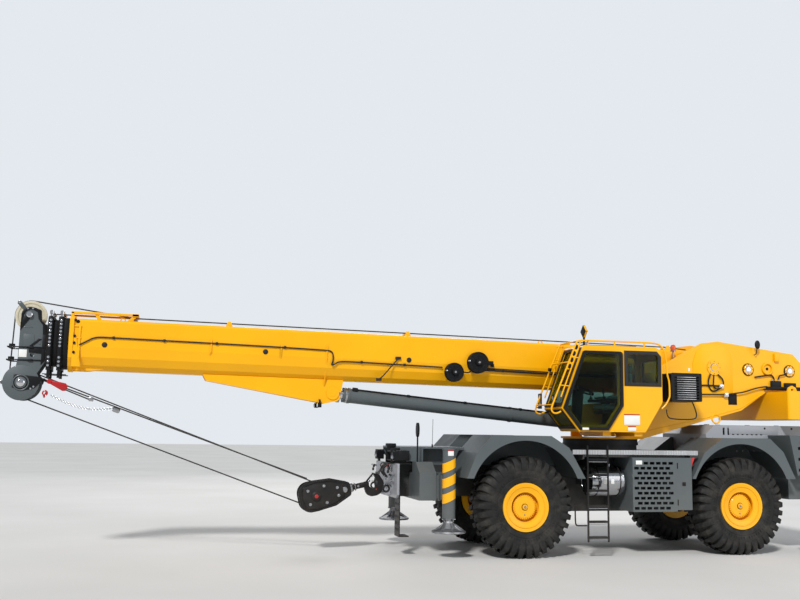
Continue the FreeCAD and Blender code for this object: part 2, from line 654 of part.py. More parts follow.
def slot_cuts(x0, x1, count, y0, y1, z0, z1, wide):
    """Vertical louvre slots spread between x0 and x1."""
    pitch = (x1 - x0) / count
    return [box(x0 + i * pitch, x0 + i * pitch + wide, y0, y1, z0, z1) for i in range(count)]


def hood():
    """Engine hood: a wide top with a sloped nose, a narrow waist between the fenders and a wide tail."""
    sx0, sz0 = HOOD_FRONT_X, HOOD_FRONT_Z
    sx1, sz1 = HOOD_FRONT_X + HOOD_SLOPE_L, HOOD_TOP_Z
    end = FRAME_END_X + HOOD_TAIL
    waist_end = WHEEL_BASE / 2 + REAR_FENDER[-1][0] + 20
    top_z = REAR_FENDER[2][1]
    tail_z = TUBE_LOW_Z + TUBE_H + COVER_H
    w = HOOD_WALL
    y = HOOD_HALF_W
    waist = FRAME_HALF_W - 25
    crown = [(sx0, top_z, 0), (sx0, sz0, 0), (sx1, sz1, 30), (end, sz1, 50), (end, top_z, 0)]
    outer = [side_prism(crown, -y, y),
             box(waist_end, end, -y, y, tail_z, top_z),
             box(sx0, end, -waist, waist, FRAME_TOP_Z, top_z)]
    inner = [side_prism([(sx0 + w, top_z - 10, 0), (sx0 + w, sz0 - 15, 0), (sx1 + w, sz1 - w, 10),
                         (end - w, sz1 - w, 30), (end - w, top_z - 10, 0)], -y + w, y - w),
             box(waist_end + w, end - w, -y + w, y - w, tail_z - 1, top_z),
             box(sx0 + w, end - w, -waist + w, waist - w, FRAME_TOP_Z - 1, top_z)]
    shell = fused(outer).cut(fused(inner))
    cuts = []
    for side in (-1, 1):
        y0, y1 = sorted((side * (y - w - 1), side * (y + 1)))
        cuts += slot_cuts(sx1 + 170, sx1 + 1070, 9, y0, y1, sz0 - 15, sz1 - 50, 45)
    for i in range(7):
        z = tail_z + 60 + i * 80
        cuts.append(box(end - w - 1, end + 1, -620, 620, z, z + 42))
    return shell.cut(Part.makeCompound(cuts))


def hood_panels():
    """Brick-pierced panels beside the hood on the rear outrigger box, each clear of its side's jack."""
    panels = []
    z0 = TUBE_LOW_Z + TUBE_H
    w = GUARD_WALL
    for (_, side), tube_x, rake in zip(SIDES, (JACK_X, JACK_X + TUBE_PITCH), PANEL_RAKES):
        foot = tube_x - TUBE_W / 2 - w - SEAT_GAP - 5
        x0 = foot - rake
        x1 = x0 + PANEL_L
        y_in, y_out = side * HOOD_HALF_W, side * HALF_WIDTH
        outline = [(x0, PANEL_TOP_Z, 0), (foot, z0, 0), (x1, z0, 0), (x1, PANEL_TOP_Z, 30)]
        shell = side_prism(outline, y_in, y_out)
        hollow = [(x0 + w, PANEL_TOP_Z - w, 0), (foot + w, z0 - 1, 0), (x1 - w, z0 - 1, 0),
                  (x1 - w, PANEL_TOP_Z - w, 15)]
        shell = shell.cut(side_prism(hollow, y_in - side, y_out - side * w))
        cuts = []
        for row in range(6):
            z = z0 + 70 + row * 100
            shift = 45 if row % 2 else 0
            for column in range(3):
                x = x0 + 170 + shift + column * 90
                y0, y1 = sorted((y_out + side, y_out - side * (w + 1)))
                cuts.append(box(x, x + 62, y0, y1, z, z + 55))
        panels.append(shell.cut(Part.makeCompound(cuts)))
    return panels


# Outriggers, as the front pair
def outrigger_box():
    """Two beam tubes side by side, each open at one end, with a sloped cover on the front one."""
    pieces = []
    hollows = []
    for shift, side in ((0, -1), (TUBE_PITCH, 1)):
        x = -(JACK_X + shift)
        pieces.append(box(x - TUBE_W / 2, x + TUBE_W / 2, -TUBE_HALF_L, TUBE_HALF_L,
                          TUBE_LOW_Z, TUBE_LOW_Z + TUBE_H))
        near = TUBE_HALF_L - TUBE_WALL
        y0, y1 = sorted((-side * near, side * (TUBE_HALF_L + 1)))
        hollows.append(box(x - TUBE_W / 2 + TUBE_WALL, x + TUBE_W / 2 - TUBE_WALL, y0, y1,
                           TUBE_LOW_Z + TUBE_WALL, TUBE_LOW_Z + TUBE_H - TUBE_WALL))
    gap = box(-JACK_X - TUBE_PITCH + TUBE_W / 2, -JACK_X - TUBE_W / 2, -TUBE_HALF_L + 20, TUBE_HALF_L - 20,
              TUBE_LOW_Z + 30, TUBE_LOW_Z + TUBE_H - 30)
    top = TUBE_LOW_Z + TUBE_H
    covers = []
    for shift, side in ((TUBE_PITCH, -1), (0, 1)):
        x = -(JACK_X + shift)
        slope = [(side * TUBE_HALF_L, top), (side * (TUBE_HALF_L - 280), top + COVER_H),
                 (side * (FRAME_HALF_W + 250), top + COVER_H), (side * (FRAME_HALF_W + 250), top)]
        covers.append(front_prism(sharp(slope), x - TUBE_W / 2, x + TUBE_W / 2))
    body = fused(pieces + [gap] + covers).cut(Part.makeCompound(hollows))
    pads = []
    for shift, side in ((0, -1), (TUBE_PITCH, 1)):
        x = -(JACK_X + shift)
        y0, y1 = sorted((side * (TUBE_HALF_L - 160), side * TUBE_HALF_L))
        z = TUBE_LOW_Z + TUBE_WALL
        pads.append(box(x - TUBE_W / 2 + 40, x + TUBE_W / 2 - 40, y0, y1, z, z + RUN_GAP - SEAT_GAP))
    return fused([body] + pads)


def outrigger_beam(shift, side):
    """Sliding beam with its jack barrel, gusset plates and top pad."""
    x = -(JACK_X + shift)
    half_w = TUBE_W / 2 - TUBE_WALL - RUN_GAP
    z0 = TUBE_LOW_Z + TUBE_WALL + RUN_GAP
    z1 = TUBE_LOW_Z + TUBE_H - TUBE_WALL - RUN_GAP
    inner_end = TUBE_HALF_L - TUBE_WALL - RUN_GAP
    y0, y1 = sorted((-side * inner_end, side * (JACK_Y - 40)))
    beam = box(x - half_w, x + half_w, y0, y1, z0, z1)
    t = 18
    ends = sorted((-side * (inner_end + 1), side * (TUBE_HALF_L - 30)))
    beam = beam.cut(box(x - half_w + t, x + half_w - t, ends[0], ends[1], z0 + t, z1 - t))
    pad_y = sorted((-side * inner_end, -side * (inner_end - 150)))
    pad = box(x - half_w + 30, x + half_w - 30, pad_y[0], pad_y[1], z1, z1 + RUN_GAP - SEAT_GAP)
    barrel = rod(x, side * JACK_Y, JACK_LOW_Z, JACK_R, JACK_TOP_Z - JACK_LOW_Z, (0, 0, 1))
    cap = rod(x, side * JACK_Y, JACK_TOP_Z - 30, JACK_R + 8, 30, (0, 0, 1))
    bore = rod(x, side * JACK_Y, JACK_LOW_Z - 1, JACK_BORE_R, JACK_TOP_Z - JACK_LOW_Z - 49, (0, 0, 1))
    gland = rod(x, side * JACK_Y, JACK_LOW_Z, JACK_BORE_R + 5, 60, (0, 0, 1)).cut(
        rod(x, side * JACK_Y, JACK_LOW_Z - 1, JACK_ROD_R + SEAT_GAP, 62, (0, 0, 1)))
    return fused([fused([beam, pad, barrel, cap]).cut(bore), gland])


def outrigger_jack(shift, side):
    """Jack rod with its ribbed float."""
    x = -(JACK_X + shift)
    y = side * JACK_Y
    stem = rod(x, y, FLOAT_TOP_Z - 20, JACK_ROD_R, JACK_TOP_Z - 200 - FLOAT_TOP_Z, (0, 0, 1))
    tall = FLOAT_TOP_Z - FLOAT_Z
    cone = turned_profile([(0, 0), (FLOAT_R - 12, 0), (FLOAT_R, 12), (FLOAT_R - 4, 34), (170, 84),
                           (92, tall - 30), (86, tall), (0, tall)])
    cone.rotate(V(0, 0, 0), V(1, 0, 0), 90)
    pieces = [stem, moved(cone, SLEW_X + x, y, FLOAT_Z)]
    rib_top = tall - 25
    for i in range(FLOAT_RIBS):
        corners = [(60, 20), (FLOAT_R - 25, 20), (FLOAT_R - 25, 44), (80, rib_top), (60, rib_top)]
        fin = outline_face(sharp(corners), lambda a, b: V(a, -9, b)).extrude(V(0, 18, 0))
        fin.rotate(V(0, 0, 0), V(0, 0, 1), i * 360.0 / FLOAT_RIBS)
        pieces.append(moved(fin, SLEW_X + x, y, FLOAT_Z))
    return fused(pieces)


# Superstructure
def turntable():
    """Two side plates on a ring plate, with pivot and drum bosses, the lift foot and cab arms."""
    low = UPPER_Z
    (nose_x, _, _), (bend_x, _, _), (rise_x, rise_z, _) = SIDE_PLATE[:3]
    tail_x = SIDE_PLATE[5][0]
    pieces = []
    for _, side in SIDES:
        pieces.append(side_prism(list(SIDE_PLATE), side * PLATE_Y, side * (PLATE_Y + PLATE_T)))
        boss = rod(PIVOT_X, side * (PLATE_Y + PLATE_T), PIVOT_Z, 150, 30, (0, side, 0))
        pieces.append(boss)
        for _, x, z in DRUM_PLACES:
            pieces.append(rod(x, side * (PLATE_Y + PLATE_T), z, 105, 26, (0, side, 0)))
    width = 2 * PLATE_Y
    pieces.append(rod(0, 0, low, RING_R + 30, 40, (0, 0, 1)))
    pieces.append(box(nose_x, bend_x, -PLATE_Y, PLATE_Y, low, low + PLATE_T))
    bulkhead_x = bend_x + 0.65 * (rise_x - bend_x)
    bulkhead_z = low + 0.65 * (rise_z - low)
    for x, z0, z1 in ((bend_x + 20, low, low + 640), (bulkhead_x, bulkhead_z, bulkhead_z + 590)):
        pieces.append(box(x, x + PLATE_T, -PLATE_Y, PLATE_Y, z0, z1))
    pieces.append(box(WEIGHT_FRONT_X + 200, tail_x, -PLATE_Y, PLATE_Y, WEIGHT_TOP_Z, WEIGHT_TOP_Z + PLATE_T))
    floor = [(bend_x, low), (rise_x, rise_z), (rise_x, rise_z + PLATE_T), (bend_x, low + PLATE_T)]
    pieces.append(side_prism(sharp(floor), -PLATE_Y, PLATE_Y))
    for side in (-1, 1):
        y = sorted((side * (LIFT_EYE_HALF_W + RUN_GAP), side * (LIFT_EYE_HALF_W + RUN_GAP + 50)))
        x, z = LIFT_FOOT_X, LIFT_FOOT_Z
        lug = [(x - 240, low, 0), (x + 240, low, 0), (x + 130, z + 120, 110), (x - 130, z + 120, 110)]
        pieces.append(side_prism(lug, y[0], y[1]))
    for x in (-560, 60):
        pieces.append(box(x, x + 160, CAB_Y[0] + 60, -PLATE_Y, low + 60, CAB_OUTLINE[1][1]))
        pieces.append(box(x, x + 160, -PLATE_Y - PLATE_T - 260, -PLATE_Y, low + 60, low + 130))
    body = fused(pieces).cut(rod(PIVOT_X, -width, PIVOT_Z, PIVOT_R, 2 * width, (0, 1, 0)))
    for _, x, z in DRUM_PLACES:
        body = body.cut(rod(x, -width, z, DRUM_SHAFT_R + PIN_GAP, 2 * width, (0, 1, 0)))
    pin_half = PLATE_Y + PLATE_T + 45
    pivot_pin = rod(PIVOT_X, -pin_half, PIVOT_Z, PIVOT_R, 2 * pin_half, (0, 1, 0))
    foot_half = LIFT_EYE_HALF_W + RUN_GAP + 60
    foot_pin = rod(LIFT_FOOT_X, -foot_half, LIFT_FOOT_Z, LIFT_PIN_R, 2 * foot_half, (0, 1, 0))
    return fused([body, pivot_pin, foot_pin])


def counterweight():
    """Cast counterweight with rounded tail corners and lifting pockets on its sides."""
    w, r = WEIGHT_HALF_W, WEIGHT_CORNER_R
    plan = [(WEIGHT_FRONT_X, -w, 40), (WEIGHT_REAR_X, -w, r), (WEIGHT_REAR_X, w, r), (WEIGHT_FRONT_X, w, 40)]
    block = plan_prism(plan, WEIGHT_LOW_Z, WEIGHT_TOP_Z)
    pockets = [box(WEIGHT_FRONT_X + 300, WEIGHT_FRONT_X + 480, min(side * (w - 60), side * (w + 1)),
                   max(side * (w - 60), side * (w + 1)), WEIGHT_LOW_Z + 180, WEIGHT_LOW_Z + 300)
               for _, side in SIDES]
    return block.cut(Part.makeCompound(pockets))


def hoist_drum(x, z):
    """Grooved drum with two flanges, its rope layer and its shaft."""
    e = DRUM_HALF_L
    shaft = PLATE_Y + PLATE_T + 40
    f, r, s = DRUM_FLANGE_R, DRUM_ROPE_R, DRUM_SHAFT_R
    profile = [(0, -shaft), (s, -shaft), (s, -e - 30), (f, -e - 30), (f, -e), (r, -e), (r, e), (f, e),
               (f, e + 30), (s, e + 30), (s, shaft), (0, shaft)]
    return moved(turned_profile(profile), SLEW_X + x, 0, z)


def oil_cooler():
    """Louvred cooler box behind the cab, on a bracket from the side plate."""
    (x0, x1), (y0, y1), (z0, z1) = COOLER_X, COOLER_Y, COOLER_Z
    body = side_prism(rectangle(x0, x1, z0, z1, 25), y0, y1)
    cuts = [box(x0 + 60, x1 - 60, y0 - 1, y0 + 40, z0 + 50 + i * 54, z0 + 80 + i * 54) for i in range(8)]
    bracket = box(x0 + 90, x1 - 90, y1 - 5, -PLATE_Y - PLATE_T, z0 + 90, z1 - 120)
    return fused([body.cut(Part.makeCompound(cuts)), bracket])


# Cab
def cab_openings():
    """Window and door openings of the cab as prisms, by name."""
    y0, y1 = CAB_Y
    w = CAB_WALL
    (chin_x, chin_z, _), _, _, (back_x, _, _), (_, top_z, _), (brow_x, _, _) = CAB_OUTLINE
    through = w + 5
    return {
        "door": side_prism(list(DOORWAY_OUTLINE), y0 - 1, y0 + w + 1),
        "rear_side": side_prism(list(REAR_WINDOW_OUTLINE), y0 - 1, y0 + w + 1),
        "inner": side_prism(list(INNER_WINDOW_OUTLINE), y1 - w - 1, y1 + 1),
        "front": front_prism(rectangle(y0 + w + 20, y1 - w - 20, *WINDSCREEN_Z, 40),
                             chin_x - through, brow_x + through + 20),
        "lower": front_prism(rectangle(y0 + w + 20, y1 - w - 20, *LOWER_SCREEN_Z, 20),
                             chin_x - through, CAB_OUTLINE[1][0] + through - 30),
        "back": front_prism(rectangle(y0 + 2 * w, y1 - 2 * w, *BACK_WINDOW_Z, 60),
                            back_x - 2 * w + 10, back_x + 20),
        "roof": plan_prism(rectangle(*ROOF_WINDOW_X, y0 + 130, y1 - 130, 60), top_z - 140, top_z + 20),
    }


def inner_corners(depth):
    """Corners of the cab's closed outline, each moved inwards by a depth."""
    points = [(x, z) for x, z, _ in CAB_OUTLINE]
    loop = inset([points[-1]] + points + [points[0]], -depth)
    radii = [max(r - depth, 0.0) for _, _, r in CAB_OUTLINE]
    return [(x, z, r) for (x, z), r in zip(loop[1:-1], radii)]


def cab_body():
    """Hollow cab with its windows and doorway cut, and two rails for the sliding door."""
    y0, y1 = CAB_Y
    w = CAB_WALL
    shell = side_prism(list(CAB_OUTLINE), y0, y1).cut(side_prism(inner_corners(w), y0 + w, y1 - w))
    for opening in cab_openings().values():
        shell = shell.cut(opening)
    rails = [box(-900, 560, y0 - RUN_GAP + SEAT_GAP, y0 + 5, 3600, 3626),
             box(-960, 250, y0 - RUN_GAP + SEAT_GAP, y0 + 5, 2225, 2250)]
    return fused([shell] + rails)


def cab_glass():
    """Panes set in the cab's openings, all but the door's."""
    y0, y1 = CAB_Y
    openings = cab_openings()
    deep = inner_corners(20)
    thin = inner_corners(20 + GLASS_T)
    skin = side_prism(deep, y0 - 50, y1 + 50).cut(side_prism(thin, y0 - 60, y1 + 60))
    panes = [openings[name].common(skin).Solids[0] for name in ("front", "lower", "back", "roof")]
    x0, x1, z1 = CAB_OUTLINE[0][0], CAB_OUTLINE[3][0], CAB_OUTLINE[4][1]
    panes.append(openings["rear_side"].common(box(x0, x1, y0 + 20, y0 + 20 + GLASS_T, 0, z1)))
    panes.append(openings["inner"].common(box(x0, x1, y1 - 20 - GLASS_T, y1 - 20, 0, z1)))
    return panes


def cab_seat():
    """Operator's seat with armrest consoles and a pedestal on the cab floor."""
    floor = CAB_OUTLINE[1][1] + CAB_WALL
    mid = (CAB_Y[0] + CAB_Y[1]) / 2
    pieces = [box(-420, -60, mid - 150, mid + 150, floor, floor + 330),
              side_prism(rectangle(-500, 20, floor + 330, floor + 450, 45), mid - 240, mid + 240),
              side_prism([(-70, floor + 430, 20), (60, floor + 430, 20), (190, floor + 1180, 50),
                          (80, floor + 1180, 50)], mid - 220, mid + 220)]
    for side in (-1, 1):
        y = sorted((mid + side * 241, mid + side * 330))
        pieces.append(side_prism(rectangle(-560, 60, floor + 480, floor + 600, 30), y[0] - 1, y[1]))
        y = sorted((mid + side * 230, mid + side * 320))
        pieces.append(box(-300, -100, y[0], y[1], floor + 400, floor + 500))
    return fused(pieces)


def cab_console():
    """Instrument column with its steering wheel in front of the seat."""
    floor = CAB_OUTLINE[1][1] + CAB_WALL
    mid = (CAB_Y[0] + CAB_Y[1]) / 2
    outline = [(-1000, floor, 0), (-860, floor, 0), (-800, floor + 620, 30), (-960, floor + 700, 30)]
    column = side_prism(outline, mid - 90, mid + 90)
    wheel = Part.makeTorus(190, 16, V(SLEW_X - 770, mid, floor + 700), V(0.45, 0, 1))
    hub = Part.makeCylinder(40, 140, V(SLEW_X - 850, mid, floor + 590), V(0.45, 0, 1))
    spokes = Part.makeBox(380, 26, 14, V(SLEW_X - 770 - 190, mid - 13, floor + 693))
    spokes.rotate(V(SLEW_X - 770, mid, floor + 700), V(0, 1, 0), 24.2)
    return fused([column, hub, wheel, spokes])


def cab_door():
    """Black door frame that slides rearwards on the cab's rails."""
    y1 = CAB_Y[0] - RUN_GAP
    y0 = y1 - DOOR_T
    points = [(x, z) for x, z, _ in DOOR_OUTLINE]
    loop = inset([points[-1]] + points + [points[0]], -DOOR_FRAME)
    hole = [(x, z, max(r - 20, 20.0)) for (x, z), (_, _, r) in zip(loop[1:-1], DOOR_OUTLINE)]
    frame = side_prism(list(DOOR_OUTLINE), y0, y1).cut(side_prism(hole, y0 - 1, y1 + 1))
    pane = side_prism(hole, y0 + 12, y0 + 12 + GLASS_T)
    return frame, pane


def cab_roof_rail():
    """Yellow guard rail over the cab roof and down its back corner, with the mirror's post."""
    z = CAB_OUTLINE[4][1]
    y = CAB_Y[0] + 70
    r = 16
    pieces = [rod(-840, y, z + 90, r, 1140, (1, 0, 0))]
    for x in (-830, -300, 290):
        pieces.append(rod(x, y, z, r, 98, (0, 0, 1)))
    return fused(pieces)


def cab_mirror():
    """Diamond mirror on a stalk at the roof's front corner."""
    z = CAB_OUTLINE[4][1]
    y = CAB_Y[0] + 70
    stalk = rod(-900, y, z, 14, 160, (0, 0, 1))
    glass = front_prism([(y - 120, z + 250, 20), (y, z + 130, 20), (y + 120, z + 250, 20), (y, z + 370, 20)],
                        -915, -885)
    return fused([stalk, glass])


# Boom
def section_face(width, height, s):
    """Boom section at s: flat top with rounded corners, straight sides and a bent lower half."""
    w, h = width / 2, height / 2
    knee = -0.05 * height
    right = [(w, h, SECTION_CORNER_R), (w, knee, 0)]
    for degrees in (25, 48, 70):
        a = math.radians(degrees)
        right.append((w * math.cos(a), knee - (h + knee) * math.sin(a) / math.sin(math.radians(70)), 0))
    left = [(-y, z, r) for y, z, r in reversed(right)]
    return outline_face(right + left, lambda a, b: V(-s, a, b - BOOM_DROP))


def section_size(index):
    """Outer width and height of the section with this index, 0 for the base."""
    return BOOM_W - index * SECTION_STEP_W, BOOM_H - index * SECTION_STEP_H


def section_tube(index, s0, s1, wall=BOOM_WALL):
    """Hollow boom section between s0 and s1."""
    width, height = section_size(index)
    outer = section_face(width, height, s0).extrude(V(s0 - s1, 0, 0))
    inner = section_face(width - 2 * wall, height - 2 * wall, s0 - 1).extrude(V(s0 - s1 - 2, 0, 0))
    return outer.cut(inner)


def collar(index, s, thick, grow):
    """Reinforcing collar round a section's mouth."""
    width, height = section_size(index)
    outer = section_face(width + grow, height + grow, s).extrude(V(-thick, 0, 0))
    inner = section_face(width - 2 * BOOM_WALL, height - 2 * BOOM_WALL, s - 1).extrude(V(-thick - 2, 0, 0))
    return outer.cut(inner)


def mouth_pad(index, s_mouth):
    """Wear pad on the floor of a section's mouth, under the next section."""
    _, height = section_size(index)
    next_width, next_height = section_size(index + 1)
    floor = -height / 2 + BOOM_WALL - BOOM_DROP
    gap = (height - next_height) / 2 - BOOM_WALL - SEAT_GAP
    half = 0.3 * next_width / 2
    return Part.makeBox(120, 2 * half, gap, V(-s_mouth + 5, -half, floor))


def tail_pad(index, s_tail):
    """Wear pad on top of a section's tail, against the roof of the section outside it."""
    width, height = section_size(index)
    _, outer_height = section_size(index - 1)
    gap = (outer_height - height) / 2 - BOOM_WALL - SEAT_GAP
    half = 0.3 * width / 2
    return Part.makeBox(150, 2 * half, gap + 2, V(-s_tail - 150, -half, height / 2 - BOOM_DROP - 2))


def in_boom(corners, y0, y1):
    """Outline (s, h, radius) in the boom's own frame run from y0 to y1."""
    return outline_face(corners, lambda a, b: V(-a, y0, b)).extrude(V(0, y1 - y0, 0))


def boom_pin(s, h, r, half_length):
    """Cross pin in the boom's own frame."""
    return Part.makeCylinder(r, 2 * half_length, V(-s, -half_length, h), V(0, 1, 0))


def boom_placed(shape):
    """A shape of the boom's own frame, tilted and put on its pivot."""
    shape = shape.copy()
    shape.rotate(V(0, 0, 0), V(0, 1, 0), BOOM_REST_DEG)
    shape.translate(V(SLEW_X + PIVOT_X, 0, PIVOT_Z))
    return shape


def boom_base():
    """Base section with its foot, pivot bushes, keel for the lift rod and mouth flange."""
    inner = BOOM_W / 2 - BOOM_WALL
    half_h = BOOM_H / 2
    tube = section_tube(0, BASE_S[0], BASE_S[1])
    foot = []
    for side in (-1, 1):
        plate = [(-150, -150, 120), (-150, 130, 120), (BASE_S[0] + 120, half_h - BOOM_DROP - 60, 0),
                 (TAIL_S[0] - 30, half_h - BOOM_DROP - 60, 0), (TAIL_S[0] - 30, -200, 0),
                 (BASE_S[0], -200, 0)]
        foot.append(in_boom(plate, side * (inner - 40), side * inner))
        bush = Part.makeCylinder(125, PLATE_Y - RUN_GAP - inner + 100,
                                 V(0, side * (inner - 100), 0), V(0, side, 0))
        foot.append(bush)
    shelf = -half_h - BOOM_DROP
    keel = []
    for side in (-1, 1):
        y = sorted((side * (LIFT_EYE_HALF_W + RUN_GAP), side * (LIFT_EYE_HALF_W + RUN_GAP + 45)))
        cheek = [(KEEL_FRONT_S + 60, shelf + BOOM_WALL, 0), (KEEL_FRONT_S, shelf - 92, 0),
                 (KEEL_DEEP_S, KEEL_LOW_H, 40), (LIFT_PIN_S - 130, LIFT_PIN_H - 130, 100),
                 (LIFT_PIN_S - 190, shelf + BOOM_WALL, 0)]
        keel.append(in_boom(cheek, y[0], y[1]))
        outer = y[1] if side > 0 else y[0]
        keel.append(Part.makeCylinder(LIFT_EYE_R, 20, V(-LIFT_PIN_S, outer, LIFT_PIN_H), V(0, side, 0)))
    keel_half = LIFT_EYE_HALF_W + RUN_GAP
    web = [(KEEL_FRONT_S, shelf - 92), (KEEL_DEEP_S + 160, KEEL_LOW_H + 35),
           (KEEL_DEEP_S + 160, KEEL_LOW_H + 75), (KEEL_FRONT_S, shelf - 52)]
    keel.append(in_boom(sharp(web), -keel_half, keel_half))
    flange = collar(0, BASE_S[1] - FLANGE_T, FLANGE_T, FLANGE_GROW)
    floor_pad = mouth_pad(0, BASE_S[1])
    body = fused([tube] + foot + keel + [flange, floor_pad])
    body = body.cut(boom_pin(0, 0, PIVOT_R + PIN_GAP, 600))
    return fused([body, boom_pin(LIFT_PIN_S, LIFT_PIN_H, LIFT_PIN_R, keel_half + 70)])


def tele_section(index):
    """Middle section with its mouth collar and wear pads."""
    tail, mouth = TAIL_S[index - 1], COLLAR_S[index - 1]
    tube = section_tube(index, tail, mouth)
    ring = collar(index, mouth, COLLAR_T, SECTION_STEP_W - 10)
    return fused([tube, ring, mouth_pad(index, mouth + COLLAR_T), tail_pad(index, tail)])


def boom_head():
    """Tip section with its head plates, sheave pins, guards and jib pin bores."""
    index = 3
    width, _ = section_size(index)
    tube = section_tube(index, TAIL_S[2], HEAD_S[0])
    half = width / 2
    ts, th, _ = TOP_SHEAVE
    ls, lh, _ = LOW_SHEAVE
    g = HEAD_GUARD_R
    outline = [(HEAD_S[0] - 80, 150, 0), (HEAD_S[0] + 20, 215, 60), (ts - 190, th + 90, 40),
               (ts, th + 140, 80), (ts + 130, th + 60, 60), (HEAD_S[1], 80, 40), (HEAD_S[1], -380, 60),
               (ls + 130, lh + 60, 60),
               (ls + 100, lh - 110, 70), (ls - 120, lh - 110, 70), (ls - 250, lh + 180, 60),
               (HEAD_S[0] - 80, -430, 40)]
    pieces = [tube]
    for side in (-1, 1):
        pieces.append(in_boom(outline, side * half, side * (half + HEAD_PLATE_T)))
    for s, h, r in ((ts, th, SHEAVE_PIN_R), (ls, lh, SHEAVE_PIN_R)):
        pieces.append(boom_pin(s, h, r, half + HEAD_PLATE_T + 25))
    for s, h in ((HEAD_S[1] - 30, 50), (HEAD_S[1] - 45, -160), (ls - 130, lh + g + 110)):
        pieces.append(boom_pin(s, h, 22, half + 10))
    guard = Part.makeCylinder(g, 30, V(-ls, -half + 30, lh), V(0, 1, 0))
    pieces.append(guard.cut(Part.makeBox(2 * g, 60, 2 * g, V(-ls - 20, -half, lh - g))))
    shelf_l = HEAD_S[1] - HEAD_S[0] - 60
    pieces.append(Part.makeBox(shelf_l, 2 * half + 2, 20, V(-HEAD_S[1] + 80, -half - 1, 60)))
    pieces.append(tail_pad(index, TAIL_S[2]))
    body = fused(pieces)
    s, h, r = JIB_PIN
    return body.cut(boom_pin(s, h, r, 600))


def sheave(place, y):
    """Grooved sheave on its pin in the boom head."""
    s, h, r = place
    w = SHEAVE_W / 2
    bore = SHEAVE_PIN_R + PIN_GAP
    left = [(bore, -w - 6), (90, -w - 6), (100, -w + 12), (r - 60, -w + 12), (r - 40, -w), (r, -w)]
    right = [(radius, -y) for radius, y in reversed(left)]
    wheel = turned_profile(left + [(r - GROOVE_DEPTH, 0)] + right)
    return boom_placed(moved(wheel, -s, y, h))


def cable_reels():
    """Two flat cable reels on the left of the base section."""
    reels = []
    solid_boom = boom_placed(section_face(BOOM_W, BOOM_H, BASE_S[0]).extrude(V(BASE_S[0] - BASE_S[1], 0, 0)))
    for x, z, r in REELS:
        y = -BOOM_W / 2
        mount = rod(x, y + 60, z, 60, 70, (0, -1, 0)).cut(solid_boom)
        drum = rod(x, y, z, r - 25, 110, (0, -1, 0))
        plates = [rod(x, y - a, z, r, 14, (0, -1, 0)) for a in (12, 96)]
        hub = rod(x, y - 110, z, 45, 40, (0, -1, 0))
        reels.append(fused([mount, drum, hub] + plates))
    return reels


# Lift cylinder, along -X from its foot before it is tilted
def lift_angle():
    """Tilt of the lift cylinder at rest, in degrees, and the distance between its eyes."""
    x = PIVOT_X - LIFT_PIN_S * math.cos(BOOM_TILT) + LIFT_PIN_H * math.sin(BOOM_TILT)
    z = PIVOT_Z + LIFT_PIN_S * math.sin(BOOM_TILT) + LIFT_PIN_H * math.cos(BOOM_TILT)
    reach, rise = LIFT_FOOT_X - x, z - LIFT_FOOT_Z
    return math.degrees(math.atan2(rise, reach)), math.hypot(reach, rise)


def lift_placed(shape):
    """A shape of the cylinder's own frame, tilted and put on its foot pin."""
    shape = shape.copy()
    shape.rotate(V(0, 0, 0), V(0, 1, 0), lift_angle()[0])
    shape.translate(V(SLEW_X + LIFT_FOOT_X, 0, LIFT_FOOT_Z))
    return shape


def lift_barrel():
    """Cylinder barrel with its foot eye, joint rings and gland."""
    w = LIFT_EYE_HALF_W
    eye = Part.makeCylinder(LIFT_EYE_R + 15, 2 * w, V(0, -w, 0), V(0, 1, 0))
    neck = Part.makeCylinder(w - 10, BARREL_NECK, V(0, 0, 0), V(-1, 0, 0))
    tube = Part.makeCylinder(LIFT_BARREL_R, BARREL_END - BARREL_NECK + 10, V(-BARREL_NECK + 10, 0, 0),
                             V(-1, 0, 0))
    rings = [Part.makeCylinder(LIFT_BARREL_R + 10, 40, V(-a, 0, 0), V(-1, 0, 0))
             for a in (1750, BARREL_END - 130)]
    body = fused([eye, neck, tube] + rings)
    bore = Part.makeCylinder(LIFT_BORE_R, BARREL_END - BARREL_NECK, V(-BARREL_NECK - 40, 0, 0), V(-1, 0, 0))
    body = body.cut(bore)
    gland = Part.makeCylinder(LIFT_BORE_R + 5, 120, V(-BARREL_END + 120, 0, 0), V(-1, 0, 0)).cut(
        Part.makeCylinder(LIFT_ROD_R + SEAT_GAP, 140, V(-BARREL_END + 130, 0, 0), V(-1, 0, 0)))
    body = fused([body, gland])
    return body.cut(Part.makeCylinder(LIFT_PIN_R + PIN_GAP, 2 * w + 2, V(0, -w - 1, 0), V(0, 1, 0)))


def lift_rod():
    """Rod with its piston end and its eye for the boom's pin."""
    length = lift_angle()[1]
    w = LIFT_EYE_HALF_W
    stem = Part.makeCylinder(LIFT_ROD_R, length - ROD_START, V(-ROD_START, 0, 0), V(-1, 0, 0))
    eye = Part.makeCylinder(LIFT_EYE_R, 2 * w, V(-length, -w, 0), V(0, 1, 0))
    body = fused([stem, eye])
    return body.cut(Part.makeCylinder(LIFT_PIN_R + PIN_GAP, 2 * w + 2, V(-length, -w - 1, 0), V(0, 1, 0)))


# Hook block, in its own frame
def block_placed(shape):
    """A shape of the block's own frame, tilted and put where the block is lashed."""
    shape = shape.copy()
    shape.rotate(V(0, 0, 0), V(0, 1, 0), -BLOCK_TILT_DEG)
    shape.translate(V(SLEW_X + BLOCK_X, 0, BLOCK_Z))
    return shape


def in_block(corners, y0, y1):
    """Outline (u, v, radius) in the block's own frame run from y0 to y1."""
    return outline_face(corners, lambda a, b: V(a, y0, b)).extrude(V(0, y1 - y0, 0))


